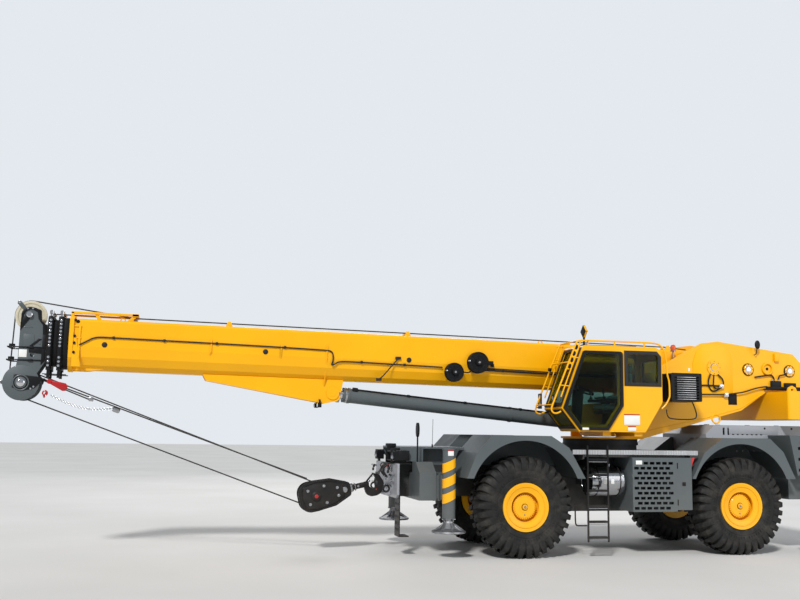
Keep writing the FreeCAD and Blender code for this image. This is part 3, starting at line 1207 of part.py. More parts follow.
def hook_block():
    """Hook block: two cheek plates with spacers, two rope sheaves and the trunnion for the hook."""
    r = CHEEK_R
    outline = [(-r - 40, -r, 200), (0, -r - 6, 0), (330, -r + 20, 60), (CHEEK_END_U, -115, 60),
               (CHEEK_END_U, 115, 60), (330, r - 20, 60), (0, r + 6, 0), (-r - 40, r, 200)]
    pieces = [in_block(outline, side * 100, side * (100 + CHEEK_T)) for side in (-1, 1)]
    pieces.append(Part.makeCylinder(45, 300, V(0, -150, 0), V(0, 1, 0)))
    pieces.append(Part.makeBox(150, 202, 190, V(CHEEK_END_U - 210, -101, -95)))
    for u, v in ((-235, 150), (-235, -150), (300, 190), (300, -190)):
        pieces.append(Part.makeCylinder(16, 202, V(u, -101, v), V(0, 1, 0)))
    r = BLOCK_SHEAVE_R
    w = SHEAVE_W / 2
    for y in (-BLOCK_LANE_Y, BLOCK_LANE_Y):
        left = [(0, -34), (80, -34), (90, -20), (r - 50, -20), (r - 30, -w), (r, -w)]
        right = [(radius, -side_y) for radius, side_y in reversed(left)]
        pieces.append(moved(turned_profile(left + [(r - GROOVE_DEPTH, 0)] + right), 0, y, 0))
    bore = Part.makeCylinder(HOOK_SHANK_R + PIN_GAP, 400, V(CHEEK_END_U - 260, 0, 0), V(1, 0, 0))
    return block_placed(fused(pieces).cut(bore))


def hook():
    """Forged hook with its shank, its bowl below and its tip with a latch."""
    shank = Part.makeCylinder(HOOK_SHANK_R, HOOK_EYE_U - 480, V(480, 0, 0), V(1, 0, 0))
    nut = Part.makeCylinder(80, 55, V(CHEEK_END_U - 210 - 55 - SEAT_GAP, 0, 0), V(1, 0, 0))
    collar_ring = Part.makeCylinder(72, 60, V(CHEEK_END_U + RUN_GAP, 0, 0), V(1, 0, 0))
    bowl_u = HOOK_EYE_U + HOOK_R - 40
    outer = [(HOOK_EYE_U - 60, 55, 30), (HOOK_EYE_U - 70, -60, 40), (bowl_u - 160, -230, 120),
             (bowl_u + 90, -240, 150), (bowl_u + 200, -40, 140), (bowl_u + 130, 130, 60),
             (bowl_u + 20, 175, 20), (bowl_u + 60, 60, 60), (bowl_u + 75, -30, 70), (bowl_u - 10, -110, 70),
             (bowl_u - 95, -60, 60), (HOOK_EYE_U + 30, 40, 30)]
    bowl = in_block(outer, -45, 45)
    latch = in_block([(HOOK_EYE_U, 30, 0), (bowl_u + 30, 150, 0), (bowl_u + 20, 172, 0),
                      (HOOK_EYE_U - 20, 54, 0)], -12, 12)
    return block_placed(fused([shank, nut, collar_ring, bowl, latch]))


def hoist_falls():
    """Four falls between the boom head's lower sheaves and the hook block's sheaves."""
    groove_half = SHEAVE_W / 2
    seat = GROOVE_DEPTH - (ROPE_R + SEAT_GAP) * math.hypot(GROOVE_DEPTH, groove_half) / groove_half
    s, h, r = LOW_SHEAVE
    head = V(SLEW_X + PIVOT_X - s * math.cos(BOOM_TILT) + h * math.sin(BOOM_TILT), 0,
             PIVOT_Z + s * math.sin(BOOM_TILT) + h * math.cos(BOOM_TILT))
    block = V(SLEW_X + BLOCK_X, 0, BLOCK_Z)
    along = (block - head).normalize()
    up = V(-along.z, 0, along.x)
    ropes = []
    for side, y_head, y_block in ((1, -75, -BLOCK_LANE_Y), (-1, 0, -BLOCK_LANE_Y),
                                  (1, 0, BLOCK_LANE_Y), (-1, 75, BLOCK_LANE_Y)):
        start = head + up * (side * (r - seat)) + V(0, y_head, 0)
        end = block + up * (side * (BLOCK_SHEAVE_R - seat)) + V(0, y_block, 0)
        ropes.append(Part.makeCylinder(ROPE_R, (end - start).Length, start, end - start))
    return ropes


def front_mirror():
    """Oval mirror on a stalk that stands on the outrigger box's cover."""
    x = -(JACK_X + TUBE_PITCH) - 110
    y = -TUBE_HALF_L + 320
    base = TUBE_LOW_Z + TUBE_H + COVER_H
    stalk = rod(x, y, base, 14, 480, (0, 0, 1))
    oval = rod(x, y, base + 560, 95, 40, (-1, 0, 0))
    matrix = FreeCAD.Matrix()
    matrix.scale(1, 0.72, 1.3)
    oval = moved(oval, -SLEW_X - x, -y, -base - 560).transformGeometry(matrix)
    return fused([stalk, moved(oval, SLEW_X + x + 20, y, base + 560)])


def build():
    """Make and write every node."""
    os.makedirs(OUT, exist_ok=True)
    save("carrier_frame", carrier_frame())
    save("end_plate", end_plate())
    save("front_deck", front_deck())
    save("front_fittings", front_mirror(), *headlamps())
    save("hanging_step", hanging_step())
    fender_places = ((-WHEEL_BASE / 2, FRONT_FENDER, FRONT_ARCH_R),
                     (WHEEL_BASE / 2, REAR_FENDER, REAR_ARCH_R))
    save("fenders", *[fender(x, outline, r, side) for x, outline, r in fender_places for _, side in SIDES])
    save("deck", deck())
    save("deck_strips", *deck_strips())
    save("ladders", *ladders())
    save("canister", canister())
    save("guard_box", guard_box())
    save("right_tank", right_tank())
    save("engine_block", engine_block())
    save("hood", hood())
    save("hood_panels", *hood_panels())
    front_box = outrigger_box()
    save("outrigger_boxes", front_box, half_turn(front_box))

    for shift, side, front, rear in ((0, -1, "front_left", "rear_right"),
                                     (TUBE_PITCH, 1, "front_right", "rear_left")):
        beam = outrigger_beam(shift, side)
        jack = outrigger_jack(shift, side)
        save("beam_" + front, beam)
        save("beam_" + rear, half_turn(beam))
        save("jack_" + front, jack)
        save("jack_" + rear, half_turn(jack))

    wheel_parts = (("tyre", tyre()), ("rim", rim()), ("knuckle", knuckle()))
    ends = (("front", -WHEEL_BASE / 2), ("rear", WHEEL_BASE / 2))
    save("axles", *[axle(x) for _, x in ends])
    for end, x in ends:
        for label, side in SIDES:
            for name, shape in wheel_parts:
                placed = shape if side > 0 else mirrored(shape)
                save(name + "_" + end + "_" + label, moved(placed, SLEW_X + x, side * TRACK / 2, TYRE_R))

    save("turntable", turntable())
    save("counterweight", counterweight())
    save("oil_cooler", oil_cooler())
    save("cab_body", cab_body())
    save("cab_glass", *cab_glass())
    save("cab_interior", cab_seat(), cab_console())
    save("cab_roof_fittings", cab_roof_rail(), cab_mirror())
    frame, pane = cab_door()
    save("cab_door", frame)
    save("cab_door_glass", pane)
    for name, x, z in DRUM_PLACES:
        save("hoist_drum_" + name, hoist_drum(x, z))

    save("boom_base", boom_placed(boom_base()))
    save("boom_mid_1", boom_placed(tele_section(1)))
    save("boom_mid_2", boom_placed(tele_section(2)))
    save("boom_head", boom_placed(boom_head()))
    save("head_sheaves", sheave(TOP_SHEAVE, 0), *[sheave(LOW_SHEAVE, y) for y in (-75, 0, 75)])
    save("cable_reels", *cable_reels())
    save("lift_barrel", lift_placed(lift_barrel()))
    save("lift_rod", lift_placed(lift_rod()))
    save("hook_block", hook_block())
    save("hook", hook())
    save("hoist_falls", *hoist_falls())


build()
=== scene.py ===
"""Looks of the rough-terrain crane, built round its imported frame. Lengths are metres."""
import json
import math
import random

import bpy
from mathutils import Matrix, Vector


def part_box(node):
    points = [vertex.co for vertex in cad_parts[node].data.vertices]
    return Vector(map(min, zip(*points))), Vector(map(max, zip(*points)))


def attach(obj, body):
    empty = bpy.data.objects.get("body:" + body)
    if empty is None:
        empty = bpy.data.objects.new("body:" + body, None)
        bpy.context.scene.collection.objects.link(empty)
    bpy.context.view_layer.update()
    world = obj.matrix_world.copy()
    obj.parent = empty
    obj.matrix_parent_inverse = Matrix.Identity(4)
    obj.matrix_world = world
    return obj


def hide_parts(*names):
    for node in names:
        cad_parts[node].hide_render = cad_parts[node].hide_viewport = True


bl_info = {
    "name": "Rough-Terrain Crane",
    "version": (1, 0, 0),
    "blender": (4, 5, 0),
    "location": "View3D > Sidebar > Crane",
    "description": "Dresses the packed frame of a rough-terrain crane",
    "category": "Object",
}

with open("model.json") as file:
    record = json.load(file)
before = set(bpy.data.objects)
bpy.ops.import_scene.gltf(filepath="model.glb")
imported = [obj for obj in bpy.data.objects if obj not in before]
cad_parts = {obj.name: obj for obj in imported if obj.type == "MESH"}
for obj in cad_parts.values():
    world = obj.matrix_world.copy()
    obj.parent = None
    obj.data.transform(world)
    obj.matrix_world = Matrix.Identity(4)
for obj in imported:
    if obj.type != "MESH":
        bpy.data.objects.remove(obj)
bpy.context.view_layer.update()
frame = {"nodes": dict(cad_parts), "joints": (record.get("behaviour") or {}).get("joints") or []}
JOINTS = {joint["name"]: joint for joint in frame["joints"]}
CORNERS = ("front_left", "front_right", "rear_left", "rear_right")

# Places of the frame: the slewing axis, and the boom, lift cylinder and hook block at rest
SLEW_X = JOINTS["slew"]["pos_m"][0]
PIVOT = Vector(JOINTS["luff"]["pos_m"])
TELESCOPE = Vector(JOINTS["telescope_1"]["axis"])
BOOM = Matrix.Translation(PIVOT) @ Matrix.Rotation(math.asin(TELESCOPE.z), 4, "Y")
LIFT_AXIS = Vector(JOINTS["lift_rod_slide"]["axis"])
LIFT = Matrix.Translation(JOINTS["lift_barrel_tilt"]["pos_m"]) @ Matrix.Rotation(math.asin(LIFT_AXIS.z), 4,
                                                                                 "Y")
BLOCK_REACH = 0.9
SWIVEL = Vector(JOINTS["hook_swivel"]["axis"])
BLOCK_CENTRE = Vector(JOINTS["hook_swivel"]["pos_m"]) - SWIVEL * BLOCK_REACH
BLOCK = Matrix.Translation(BLOCK_CENTRE) @ Matrix.Rotation(-math.asin(SWIVEL.z), 4, "Y")
SLEW = Matrix.Translation((SLEW_X, 0, 0))
HEAD_PIN = Vector(JOINTS["hook_block_swing"]["pos_m"])

# The tyre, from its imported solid
TYRE_LOW, TYRE_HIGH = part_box("tyre_front_left")
TYRE_R = (TYRE_HIGH.z - TYRE_LOW.z) / 2
TYRE_W = TYRE_HIGH.y - TYRE_LOW.y


class StageSettings(bpy.types.PropertyGroup):
    """Camera and light."""

    lens: bpy.props.FloatProperty(name="Lens", description="Focal length of the camera", default=45.0,
                                  unit="CAMERA")
    eye: bpy.props.FloatVectorProperty(name="Eye", description="Place of the camera", subtype="TRANSLATION",
                                       default=(-5.034, -18.137, 2.165), unit="LENGTH")
    yaw: bpy.props.FloatProperty(name="Yaw", description="Turn of the view towards the tail",
                                 default=math.radians(13.41), subtype="ANGLE")
    pitch: bpy.props.FloatProperty(name="Pitch", description="Tilt of the view above the horizon",
                                   default=math.radians(7.44), subtype="ANGLE")
    roll: bpy.props.FloatProperty(name="Roll", description="Roll of the camera", default=math.radians(0.75),
                                  subtype="ANGLE")
    floor: bpy.props.FloatProperty(name="Floor", description="Half the width of the floor", default=120.0,
                                   unit="LENGTH")


class FinishSettings(bpy.types.PropertyGroup):
    """Colours of the crane's finishes, as sRGB hex values."""

    yellow: bpy.props.StringProperty(name="Yellow", description="Enamel of boom, cab and wheels",
                                     default="FDB400")
    slate: bpy.props.StringProperty(name="Slate", description="Enamel of carrier, fenders and outriggers",
                                    default="565D5F")
    grey: bpy.props.StringProperty(name="Light grey", description="Enamel of the hood and nose plate",
                                   default="9C9FA4")
    black: bpy.props.StringProperty(name="Black", description="Enamel of ladders, block and brackets",
                                    default="141517")
    rubber: bpy.props.StringProperty(name="Rubber", description="Tyre rubber", default="1F1F1E")
    dust: bpy.props.StringProperty(name="Dust", description="Dried dust on the wheels", default="8A8074")
    red: bpy.props.StringProperty(name="Red", description="Shackles, sockets and reflectors",
                                  default="B3181C")
    nylon: bpy.props.StringProperty(name="Nylon", description="Cast nylon of the sheaves", default="D9CFB4")


class TyreSettings(bpy.types.PropertyGroup):
    """Tread and sidewall of the tyres."""

    lugs: bpy.props.IntProperty(name="Lugs", description="Lugs round one side of a tyre", default=34)
    lug_width: bpy.props.FloatProperty(name="Lug width", description="Width of a lug at its foot",
                                       default=0.100, unit="LENGTH")
    tread: bpy.props.FloatProperty(name="Tread", description="Depth of the tread", default=0.045,
                                   unit="LENGTH")
    slant: bpy.props.FloatProperty(name="Slant", description="Shift of a lug's inner end round the tyre",
                                   default=0.055, unit="LENGTH")
    nuts: bpy.props.IntProperty(name="Nuts", description="Wheel nuts round a hub", default=20)


class RopeSettings(bpy.types.PropertyGroup):
    """Wire ropes."""

    radius: bpy.props.FloatProperty(name="Radius", description="Radius of the hoist rope", default=0.0115,
                                    unit="LENGTH")


class TrimSettings(bpy.types.PropertyGroup):
    """Small parts that repeat over the crane."""

    hose: bpy.props.FloatProperty(name="Hose", description="Radius of a hydraulic hose", default=0.014,
                                  unit="LENGTH")
    rail: bpy.props.FloatProperty(name="Rail", description="Radius of the cab's guard rails", default=0.016,
                                  unit="LENGTH")


# Faces that carry trim, measured sideways from the middle plane
CAB_FACE_Y = -1.4115
PLATE_FACE_Y = 0.5405
BOX_FACE_Y = 1.5405
BLOCK_CHEEK_Y = 0.130
BOOM_FACE_Y = -0.430


# Shaping tools
def free_hands():
    """Leave edit mode and deselect everything."""
    if bpy.context.object and bpy.context.object.mode != "OBJECT":
        bpy.ops.object.mode_set(mode="OBJECT")
    bpy.ops.object.select_all(action="DESELECT")


def settle(place=None):
    """Bring the active object to its place and put that place in its mesh."""
    obj = bpy.context.object
    if place is not None:
        obj.matrix_world = place @ obj.matrix_world
    bpy.ops.object.transform_apply(location=True, rotation=True, scale=True)
    return obj


def edit(obj, test=None, mode="FACE"):
    """Enter edit mode with all of a mesh selected, or the faces that a test of centre and normal picks."""
    free_hands()
    obj.select_set(True)
    bpy.context.view_layer.objects.active = obj
    bpy.ops.object.mode_set(mode="EDIT")
    bpy.ops.mesh.select_mode(type=mode)
    bpy.ops.mesh.select_all(action="SELECT" if test is None else "DESELECT")
    if test is None:
        return
    bpy.ops.object.mode_set(mode="OBJECT")
    for face in obj.data.polygons:
        face.select = test(face.center, face.normal)
    bpy.ops.object.mode_set(mode="EDIT")


def soften(obj, width, segments=2, angle=0.6):
    """Round the sharp edges of a mesh."""
    edit(obj, mode="EDGE")
    bpy.ops.mesh.select_all(action="DESELECT")
    bpy.ops.mesh.edges_select_sharp(sharpness=angle)
    bpy.ops.mesh.bevel(offset=width, segments=segments, clamp_overlap=True)
    bpy.ops.object.mode_set(mode="OBJECT")
    return obj


def block(low, high, place=None, width=None, segments=2):
    """Block between two corners, with rounded edges."""
    free_hands()
    middle = [(a + b) / 2 for a, b in zip(low, high)]
    size = [abs(b - a) for a, b in zip(low, high)]
    bpy.ops.mesh.primitive_cube_add(size=1, location=middle, scale=size)
    obj = settle(place)
    width = min(size) * 0.2 if width is None else width
    return soften(obj, min(width, min(size) * 0.45), segments) if width else obj


def bar(start, end, radius, place=None, sides=20, width=0.0, end_radius=None):
    """Round bar between two points, or a cone, with its rims rounded by a width."""
    free_hands()
    start, end = Vector(start), Vector(end)
    run = end - start
    turn = run.to_track_quat("Z", "Y").to_euler()
    if end_radius is None:
        bpy.ops.mesh.primitive_cylinder_add(vertices=sides, radius=radius, depth=run.length,
                                            location=(start + end) / 2, rotation=turn)
    else:
        bpy.ops.mesh.primitive_cone_add(vertices=sides, radius1=radius, radius2=end_radius, depth=run.length,
                                        location=(start + end) / 2, rotation=turn)
    obj = settle(place)
    return soften(obj, width, angle=1.0) if width else obj


def turned(profile, start, axis, place=None, sides=32):
    """Turned piece: (radius, height) steps along an axis from a start point."""
    free_hands()
    radius, height = profile[0]
    bpy.ops.mesh.primitive_circle_add(vertices=sides, radius=radius, fill_type="NGON",
                                      location=(0, 0, height))
    obj = settle()
    edit(obj)
    for next_radius, next_height in profile[1:]:
        bpy.ops.mesh.extrude_region_move(TRANSFORM_OT_translate={"value": (0, 0, next_height - height)})
        share = next_radius / radius
        bpy.ops.transform.resize(value=(share, share, 1), center_override=(0, 0, next_height))
        radius, height = next_radius, next_height
    bpy.ops.mesh.select_all(action="SELECT")
    bpy.ops.mesh.normals_make_consistent(inside=False)
    bpy.ops.object.mode_set(mode="OBJECT")
    turn = Matrix.Translation(start) @ Vector(axis).to_track_quat("Z", "Y").to_matrix().to_4x4()
    return settle(turn if place is None else place @ turn)


def plate(outline, near, far, place=None, width=0.0, across="Y"):
    """Plate with a side-view outline of (x, z), or a front-view one of (y, z), from near to far."""
    free_hands()
    bpy.ops.mesh.primitive_circle_add(vertices=len(outline), radius=1, fill_type="NGON")
    obj = bpy.context.object
    for vertex, (a, b) in zip(obj.data.vertices, outline):
        vertex.co = (a, near, b) if across == "Y" else (near, a, b)
    edit(obj)
    step = (0, far - near, 0) if across == "Y" else (far - near, 0, 0)
    bpy.ops.mesh.extrude_region_move(TRANSFORM_OT_translate={"value": step})
    bpy.ops.mesh.select_all(action="SELECT")
    bpy.ops.mesh.normals_make_consistent(inside=False)
    bpy.ops.object.mode_set(mode="OBJECT")
    settle(place)
    return soften(obj, width) if width else obj


def pipe(points, radius, place=None, sides=3):
    """Round pipe or hose along a smooth line that these points steer."""
    free_hands()
    bpy.ops.curve.primitive_nurbs_path_add()
    obj = bpy.context.object
    spline = obj.data.splines[0]
    points = [Vector(point) for point in points]
    # The path starts with five points, so a shorter line gets its longest run halved
    while len(points) < len(spline.points):
        runs = [(b - a).length for a, b in zip(points[:-1], points[1:])]
        i = runs.index(max(runs))
        points.insert(i + 1, (points[i] + points[i + 1]) / 2)
    spline.points.add(len(points) - len(spline.points))
    for point, place_of_point in zip(spline.points, points):
        point.co = (*place_of_point, 1)
    spline.order_u = 3
    spline.use_endpoint_u = True
    spline.resolution_u = 5
    obj.data.bevel_depth = radius
    obj.data.bevel_resolution = sides
    obj.data.use_fill_caps = True
    bpy.ops.object.convert(target="MESH")
    return settle(place)


def ring(centre, axis, radius, thick, place=None, sides=32):
    """Round ring of a round wire."""
    free_hands()
    turn = Vector(axis).to_track_quat("Z", "Y").to_euler()
    bpy.ops.mesh.primitive_torus_add(location=centre, rotation=turn, major_radius=radius, minor_radius=thick,
                                     major_segments=sides, minor_segments=8)
    return settle(place)


def bolt(centre, axis, radius, place=None):
    """Bolt head: a hexagon with a washer under it."""
    centre, axis = Vector(centre), Vector(axis).normalized()
    washer = bar(centre, centre + axis * radius * 0.25, radius * 1.35, place, sides=16)
    head = bar(centre, centre + axis * radius, radius, place, sides=6, width=radius * 0.12)
    return joined([washer, head])


def around(obj, count, centre, axis):
    """Repeat a mesh round an axis."""
    edit(obj)
    bpy.ops.mesh.spin(steps=count - 1, dupli=True, angle=2 * math.pi * (count - 1) / count, center=centre,
                      axis=Vector(axis))
    bpy.ops.object.mode_set(mode="OBJECT")
    return obj


def copies(obj, offsets):
    """The object with copies of it moved by offsets, all in one list."""
    made = [obj]
    for offset in offsets:
        free_hands()
        obj.select_set(True)
        bpy.context.view_layer.objects.active = obj
        bpy.ops.object.duplicate(linked=False)
        bpy.ops.transform.translate(value=offset)
        made.append(settle())
    return made


def joined(objects):
    """One object from several."""
    free_hands()
    for obj in objects:
        obj.select_set(True)
    bpy.context.view_layer.objects.active = objects[0]
    if len(objects) > 1:
        bpy.ops.object.join()
    return bpy.context.object


def piece(name, objects, body, material, smooth=0.6):
    """Finish a piece: join, name, shade, give its material and slot, and let it ride on its body."""
    obj = joined(objects)
    obj.name = name
    obj.data.name = name
    if smooth:
        bpy.ops.object.shade_smooth_by_angle(angle=smooth)
    obj.data.materials.clear()
    obj.data.materials.append(bpy.data.materials[material])
    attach(obj, body)
    return obj


def frame_plate(outer, inner, near, far, place=None, width=0.0, across="Y"):
    """Plate with a hole: two outlines with as many corners each, from near to far."""
    free_hands()
    loops = []
    for outline in (outer, inner):
        bpy.ops.mesh.primitive_circle_add(vertices=len(outline), radius=1, fill_type="NOTHING")
        loop = bpy.context.object
        for vertex, (a, b) in zip(loop.data.vertices, outline):
            vertex.co = (a, near, b) if across == "Y" else (near, a, b)
        loops.append(loop)
    obj = joined(loops)
    edit(obj, mode="EDGE")
    bpy.ops.mesh.bridge_edge_loops()
    bpy.ops.mesh.select_all(action="SELECT")
    step = (0, far - near, 0) if across == "Y" else (far - near, 0, 0)
    bpy.ops.mesh.extrude_region_move(TRANSFORM_OT_translate={"value": step})
    bpy.ops.mesh.select_all(action="SELECT")
    bpy.ops.mesh.remove_doubles(threshold=0.00005)
    bpy.ops.mesh.normals_make_consistent(inside=False)
    bpy.ops.object.mode_set(mode="OBJECT")
    settle(place)
    return soften(obj, width) if width else obj


def row(obj, count, step):
    """Repeat a mesh along a straight line."""
    free_hands()
    obj.select_set(True)
    bpy.context.view_layer.objects.active = obj
    bpy.ops.object.modifier_add(type="ARRAY")
    array = obj.modifiers[-1]
    array.count = count
    array.use_relative_offset = False
    array.use_constant_offset = True
    array.constant_offset_displace = step
    bpy.ops.object.modifier_apply(modifier=array.name)
    return obj


def bolts(centres, axis, radius, place=None):
    """Bolt heads at these places, all in one direction."""
    first = bolt(centres[0], axis, radius, place)
    turn = Matrix.Identity(3) if place is None else place.to_3x3()
    offsets = [turn @ (Vector(centre) - Vector(centres[0])) for centre in centres[1:]]
    return copies(first, offsets)


def section_outline(index, grow=0.0):
    """Boom section's outline (y, h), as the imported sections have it, grown by a width."""
    wide, tall = 0.640 - 0.070 * index + grow, 0.870 - 0.080 * index + grow
    half, knee, drop = wide / 2, -0.05 * tall, -0.110
    right = [(half - 0.04, tall / 2), (half, tall / 2 - 0.04), (half, knee)]
    for degrees in (25, 48, 70):
        turn = math.radians(degrees)
        right.append((half * math.cos(turn),
                      knee - (tall / 2 + knee) * math.sin(turn) / math.sin(math.radians(70))))
    right = [(y, h + drop) for y, h in right]
    return right + [(-y, h) for y, h in reversed(right)]


def inner_outline(outline, width):
    """Outline shrunk towards its middle by about a width."""
    ys, zs = [a for a, _ in outline], [b for _, b in outline]
    my, mz = (min(ys) + max(ys)) / 2, (min(zs) + max(zs)) / 2
    ky, kz = 1 - 2 * width / (max(ys) - min(ys)), 1 - 2 * width / (max(zs) - min(zs))
    return [(my + (a - my) * ky, mz + (b - mz) * kz) for a, b in outline]


def on_slew(x, y, z):
    """Point counted from the slewing axis."""
    return Vector((SLEW_X + x, y, z))


# Finishes
def linear(code):
    """Linear colour of an sRGB hex value."""
    parts = [int(code[i:i + 2], 16) / 255 for i in (0, 2, 4)]
    return [c / 12.92 if c <= 0.04045 else ((c + 0.055) / 1.055) ** 2.4 for c in parts] + [1.0]


def node(tree, kind, inputs=(), **settings):
    """Add a node with its settings, and its inputs as values or links."""
    made = tree.nodes.new(kind)
    for key, value in settings.items():
        setattr(made, key, value)
    for socket, value in dict(inputs).items():
        if isinstance(value, bpy.types.NodeSocket):
            tree.links.new(value, made.inputs[socket])
        else:
            made.inputs[socket].default_value = value
    return made


def blank_material(name, rough, metal=0.0, coat=0.0):
    """New material with its shader, and the place on the object to draw patterns by."""
    material = bpy.data.materials.new(name)
    material.use_nodes = True
    tree = material.node_tree
    shader = tree.nodes["Principled BSDF"]
    shader.inputs["Roughness"].default_value = rough
    shader.inputs["Metallic"].default_value = metal
    shader.inputs["Coat Weight"].default_value = coat
    place = node(tree, "ShaderNodeTexCoord").outputs["Object"]
    return material, tree, shader, place


def mottled(tree, place, low, high, size, detail=3.0, sharp=0.5):
    """Colour that wanders between two tones over patches of a size."""
    noise = node(tree, "ShaderNodeTexNoise", {"Vector": place, "Scale": 1 / size, "Detail": detail})
    ramp = node(tree, "ShaderNodeValToRGB", {"Fac": noise.outputs["Fac"]})
    ramp.color_ramp.elements[0].position = 0.5 - sharp / 2
    ramp.color_ramp.elements[1].position = 0.5 + sharp / 2
    ramp.color_ramp.elements[0].color = low
    ramp.color_ramp.elements[1].color = high
    return ramp.outputs["Color"]


def toned(colour, share):
    """A colour made darker or lighter by a share."""
    return [min(1.0, c * share) for c in colour[:3]] + [1.0]


def dusted(tree, place, colour, dust, top, most):
    """Dust over a colour, thick at the ground and gone at a height."""
    height = node(tree, "ShaderNodeSeparateXYZ", {"Vector": place}).outputs["Z"]
    fade = node(tree, "ShaderNodeMapRange",
                {"Value": height, "From Min": 0.0, "From Max": top, "To Min": most,
                                             "To Max": 0.0}).outputs["Result"]
    cloud = node(tree, "ShaderNodeTexNoise", {"Vector": place, "Scale": 6.0, "Detail": 6.0}).outputs["Fac"]
    share = node(tree, "ShaderNodeMath", {0: fade, 1: cloud}, operation="MULTIPLY").outputs[0]
    mix = node(tree, "ShaderNodeMix", {"Factor": share, "A": colour, "B": dust}, data_type="RGBA")
    return mix.outputs["Result"]


def rough_map(tree, place, shader, low, high, size):
    """Roughness that wanders between two values."""
    noise = node(tree, "ShaderNodeTexNoise", {"Vector": place, "Scale": 1 / size, "Detail": 4.0})
    spread = node(tree, "ShaderNodeMapRange", {"Value": noise.outputs["Fac"], "To Min": low, "To Max": high})
    tree.links.new(spread.outputs["Result"], shader.inputs["Roughness"])


def bump(tree, height, shader, distance, strength=1.0):
    """Relief on the shader from a height."""
    relief = node(tree, "ShaderNodeBump", {"Height": height, "Distance": distance, "Strength": strength})
    tree.links.new(relief.outputs["Normal"], shader.inputs["Normal"])


def enamel(name, code, rough, coat, dust_code, most=0.5, tone=0.9, gloss=0.3):
    """Two-pack enamel sprayed on steel plate: an even colour, faint orange peel, and dust low down."""
    material, tree, shader, place = blank_material(name, rough, coat=coat)
    shader.inputs["Coat Roughness"].default_value = 0.08
    shader.inputs["Specular IOR Level"].default_value = gloss
    colour = linear(code)
    base = mottled(tree, place, toned(colour, tone), toned(colour, 1.04), 0.9)
    top = dusted(tree, place, base, linear(dust_code), 1.7, most)
    tree.links.new(top, shader.inputs["Base Color"])
    rough_map(tree, place, shader, rough * 0.8, rough * 1.35, 0.35)
    # Orange peel is about 3 mm across on spray work; drawn at 12 mm so that it shows at all
    peel = node(tree, "ShaderNodeTexNoise",
                {"Vector": place, "Scale": 1 / 0.012, "Detail": 1.0}).outputs["Fac"]
    bump(tree, peel, shader, 0.00025, 0.5)
    return material


def tread_plate(name, code, rough, metal, dust_code):
    """Rolled tread plate: raised bars about 30 mm long at 45 degrees, drawn twice that size to show."""
    material, tree, shader, place = blank_material(name, rough, metal)
    colour = linear(code)
    base = mottled(tree, place, toned(colour, 0.82), toned(colour, 1.06), 0.5)
    turn = node(tree, "ShaderNodeMapping", {"Vector": place, "Rotation": (0, 0, math.radians(45))})
    bars = node(tree, "ShaderNodeTexBrick", {"Vector": turn.outputs["Vector"], "Scale": 1.0,
                                             "Mortar Size": 0.012, "Mortar Smooth": 0.6,
                                             "Brick Width": 0.085, "Row Height": 0.035}, offset=0.5)
    worn = node(tree, "ShaderNodeMix", {"Factor": bars.outputs["Fac"], "A": base,
                                        "B": linear(dust_code)}, data_type="RGBA")
    share = node(tree, "ShaderNodeMix", {"Factor": 0.25, "A": base, "B": worn.outputs["Result"]},
                 data_type="RGBA")
    tree.links.new(share.outputs["Result"], shader.inputs["Base Color"])
    low = node(tree, "ShaderNodeMath", {0: 1.0, 1: bars.outputs["Fac"]}, operation="SUBTRACT").outputs[0]
    bump(tree, low, shader, 0.002, 0.8)
    return material


def bare_metal(name, code, rough, grain, depth, stretch=(1, 1, 1), metal=1.0, tone=0.8):
    """Bare metal with the marks of its making, longer along one axis where it is drawn or machined."""
    material, tree, shader, place = blank_material(name, rough, metal)
    colour = linear(code)
    tree.links.new(mottled(tree, place, toned(colour, tone), colour, 0.12, 5.0, 0.3),
                   shader.inputs["Base Color"])
    rough_map(tree, place, shader, rough * 0.7, rough * 1.4, 0.05)
    lines = node(tree, "ShaderNodeMapping", {"Vector": place, "Scale": stretch})
    marks = node(tree, "ShaderNodeTexNoise", {"Vector": lines.outputs["Vector"], "Scale": 1 / grain,
                                              "Detail": 4.0})
    bump(tree, marks.outputs["Fac"], shader, depth, 0.6)
    return material


def tyre_rubber(name, code, dust_code):
    """Moulded tyre rubber: dull black with dried dust in its grooves and scuffs on its walls."""
    material, tree, shader, place = blank_material(name, 0.62)
    shader.inputs["Specular IOR Level"].default_value = 0.25
    colour = linear(code)
    base = mottled(tree, place, toned(colour, 0.7), toned(colour, 1.5), 0.12, 6.0, 0.6)
    grit = node(tree, "ShaderNodeTexNoise", {"Vector": place, "Scale": 3.2, "Detail": 8.0,
                                             "Roughness": 0.7}).outputs["Fac"]
    share = node(tree, "ShaderNodeMapRange", {"Value": grit, "From Min": 0.48, "From Max": 0.85,
                                              "To Max": 0.24}).outputs["Result"]
    dirty = node(tree, "ShaderNodeMix", {"Factor": share, "A": base, "B": linear(dust_code)},
                 data_type="RGBA")
    tree.links.new(dirty.outputs["Result"], shader.inputs["Base Color"])
    rough_map(tree, place, shader, 0.5, 0.8, 0.08)
    fine = node(tree, "ShaderNodeTexNoise", {"Vector": place, "Scale": 1 / 0.006, "Detail": 3.0})
    bump(tree, fine.outputs["Fac"], shader, 0.0008, 0.6)
    return material


def cab_glass(name):
    """Tinted safety glass: a smooth green-grey sheet."""
    material, tree, shader, place = blank_material(name, 0.03)
    shader.inputs["Transmission Weight"].default_value = 1.0
    shader.inputs["IOR"].default_value = 1.2
    tint = mottled(tree, place, linear("7F9A92"), linear("93ABA4"), 0.6)
    tree.links.new(tint, shader.inputs["Base Color"])
    return material


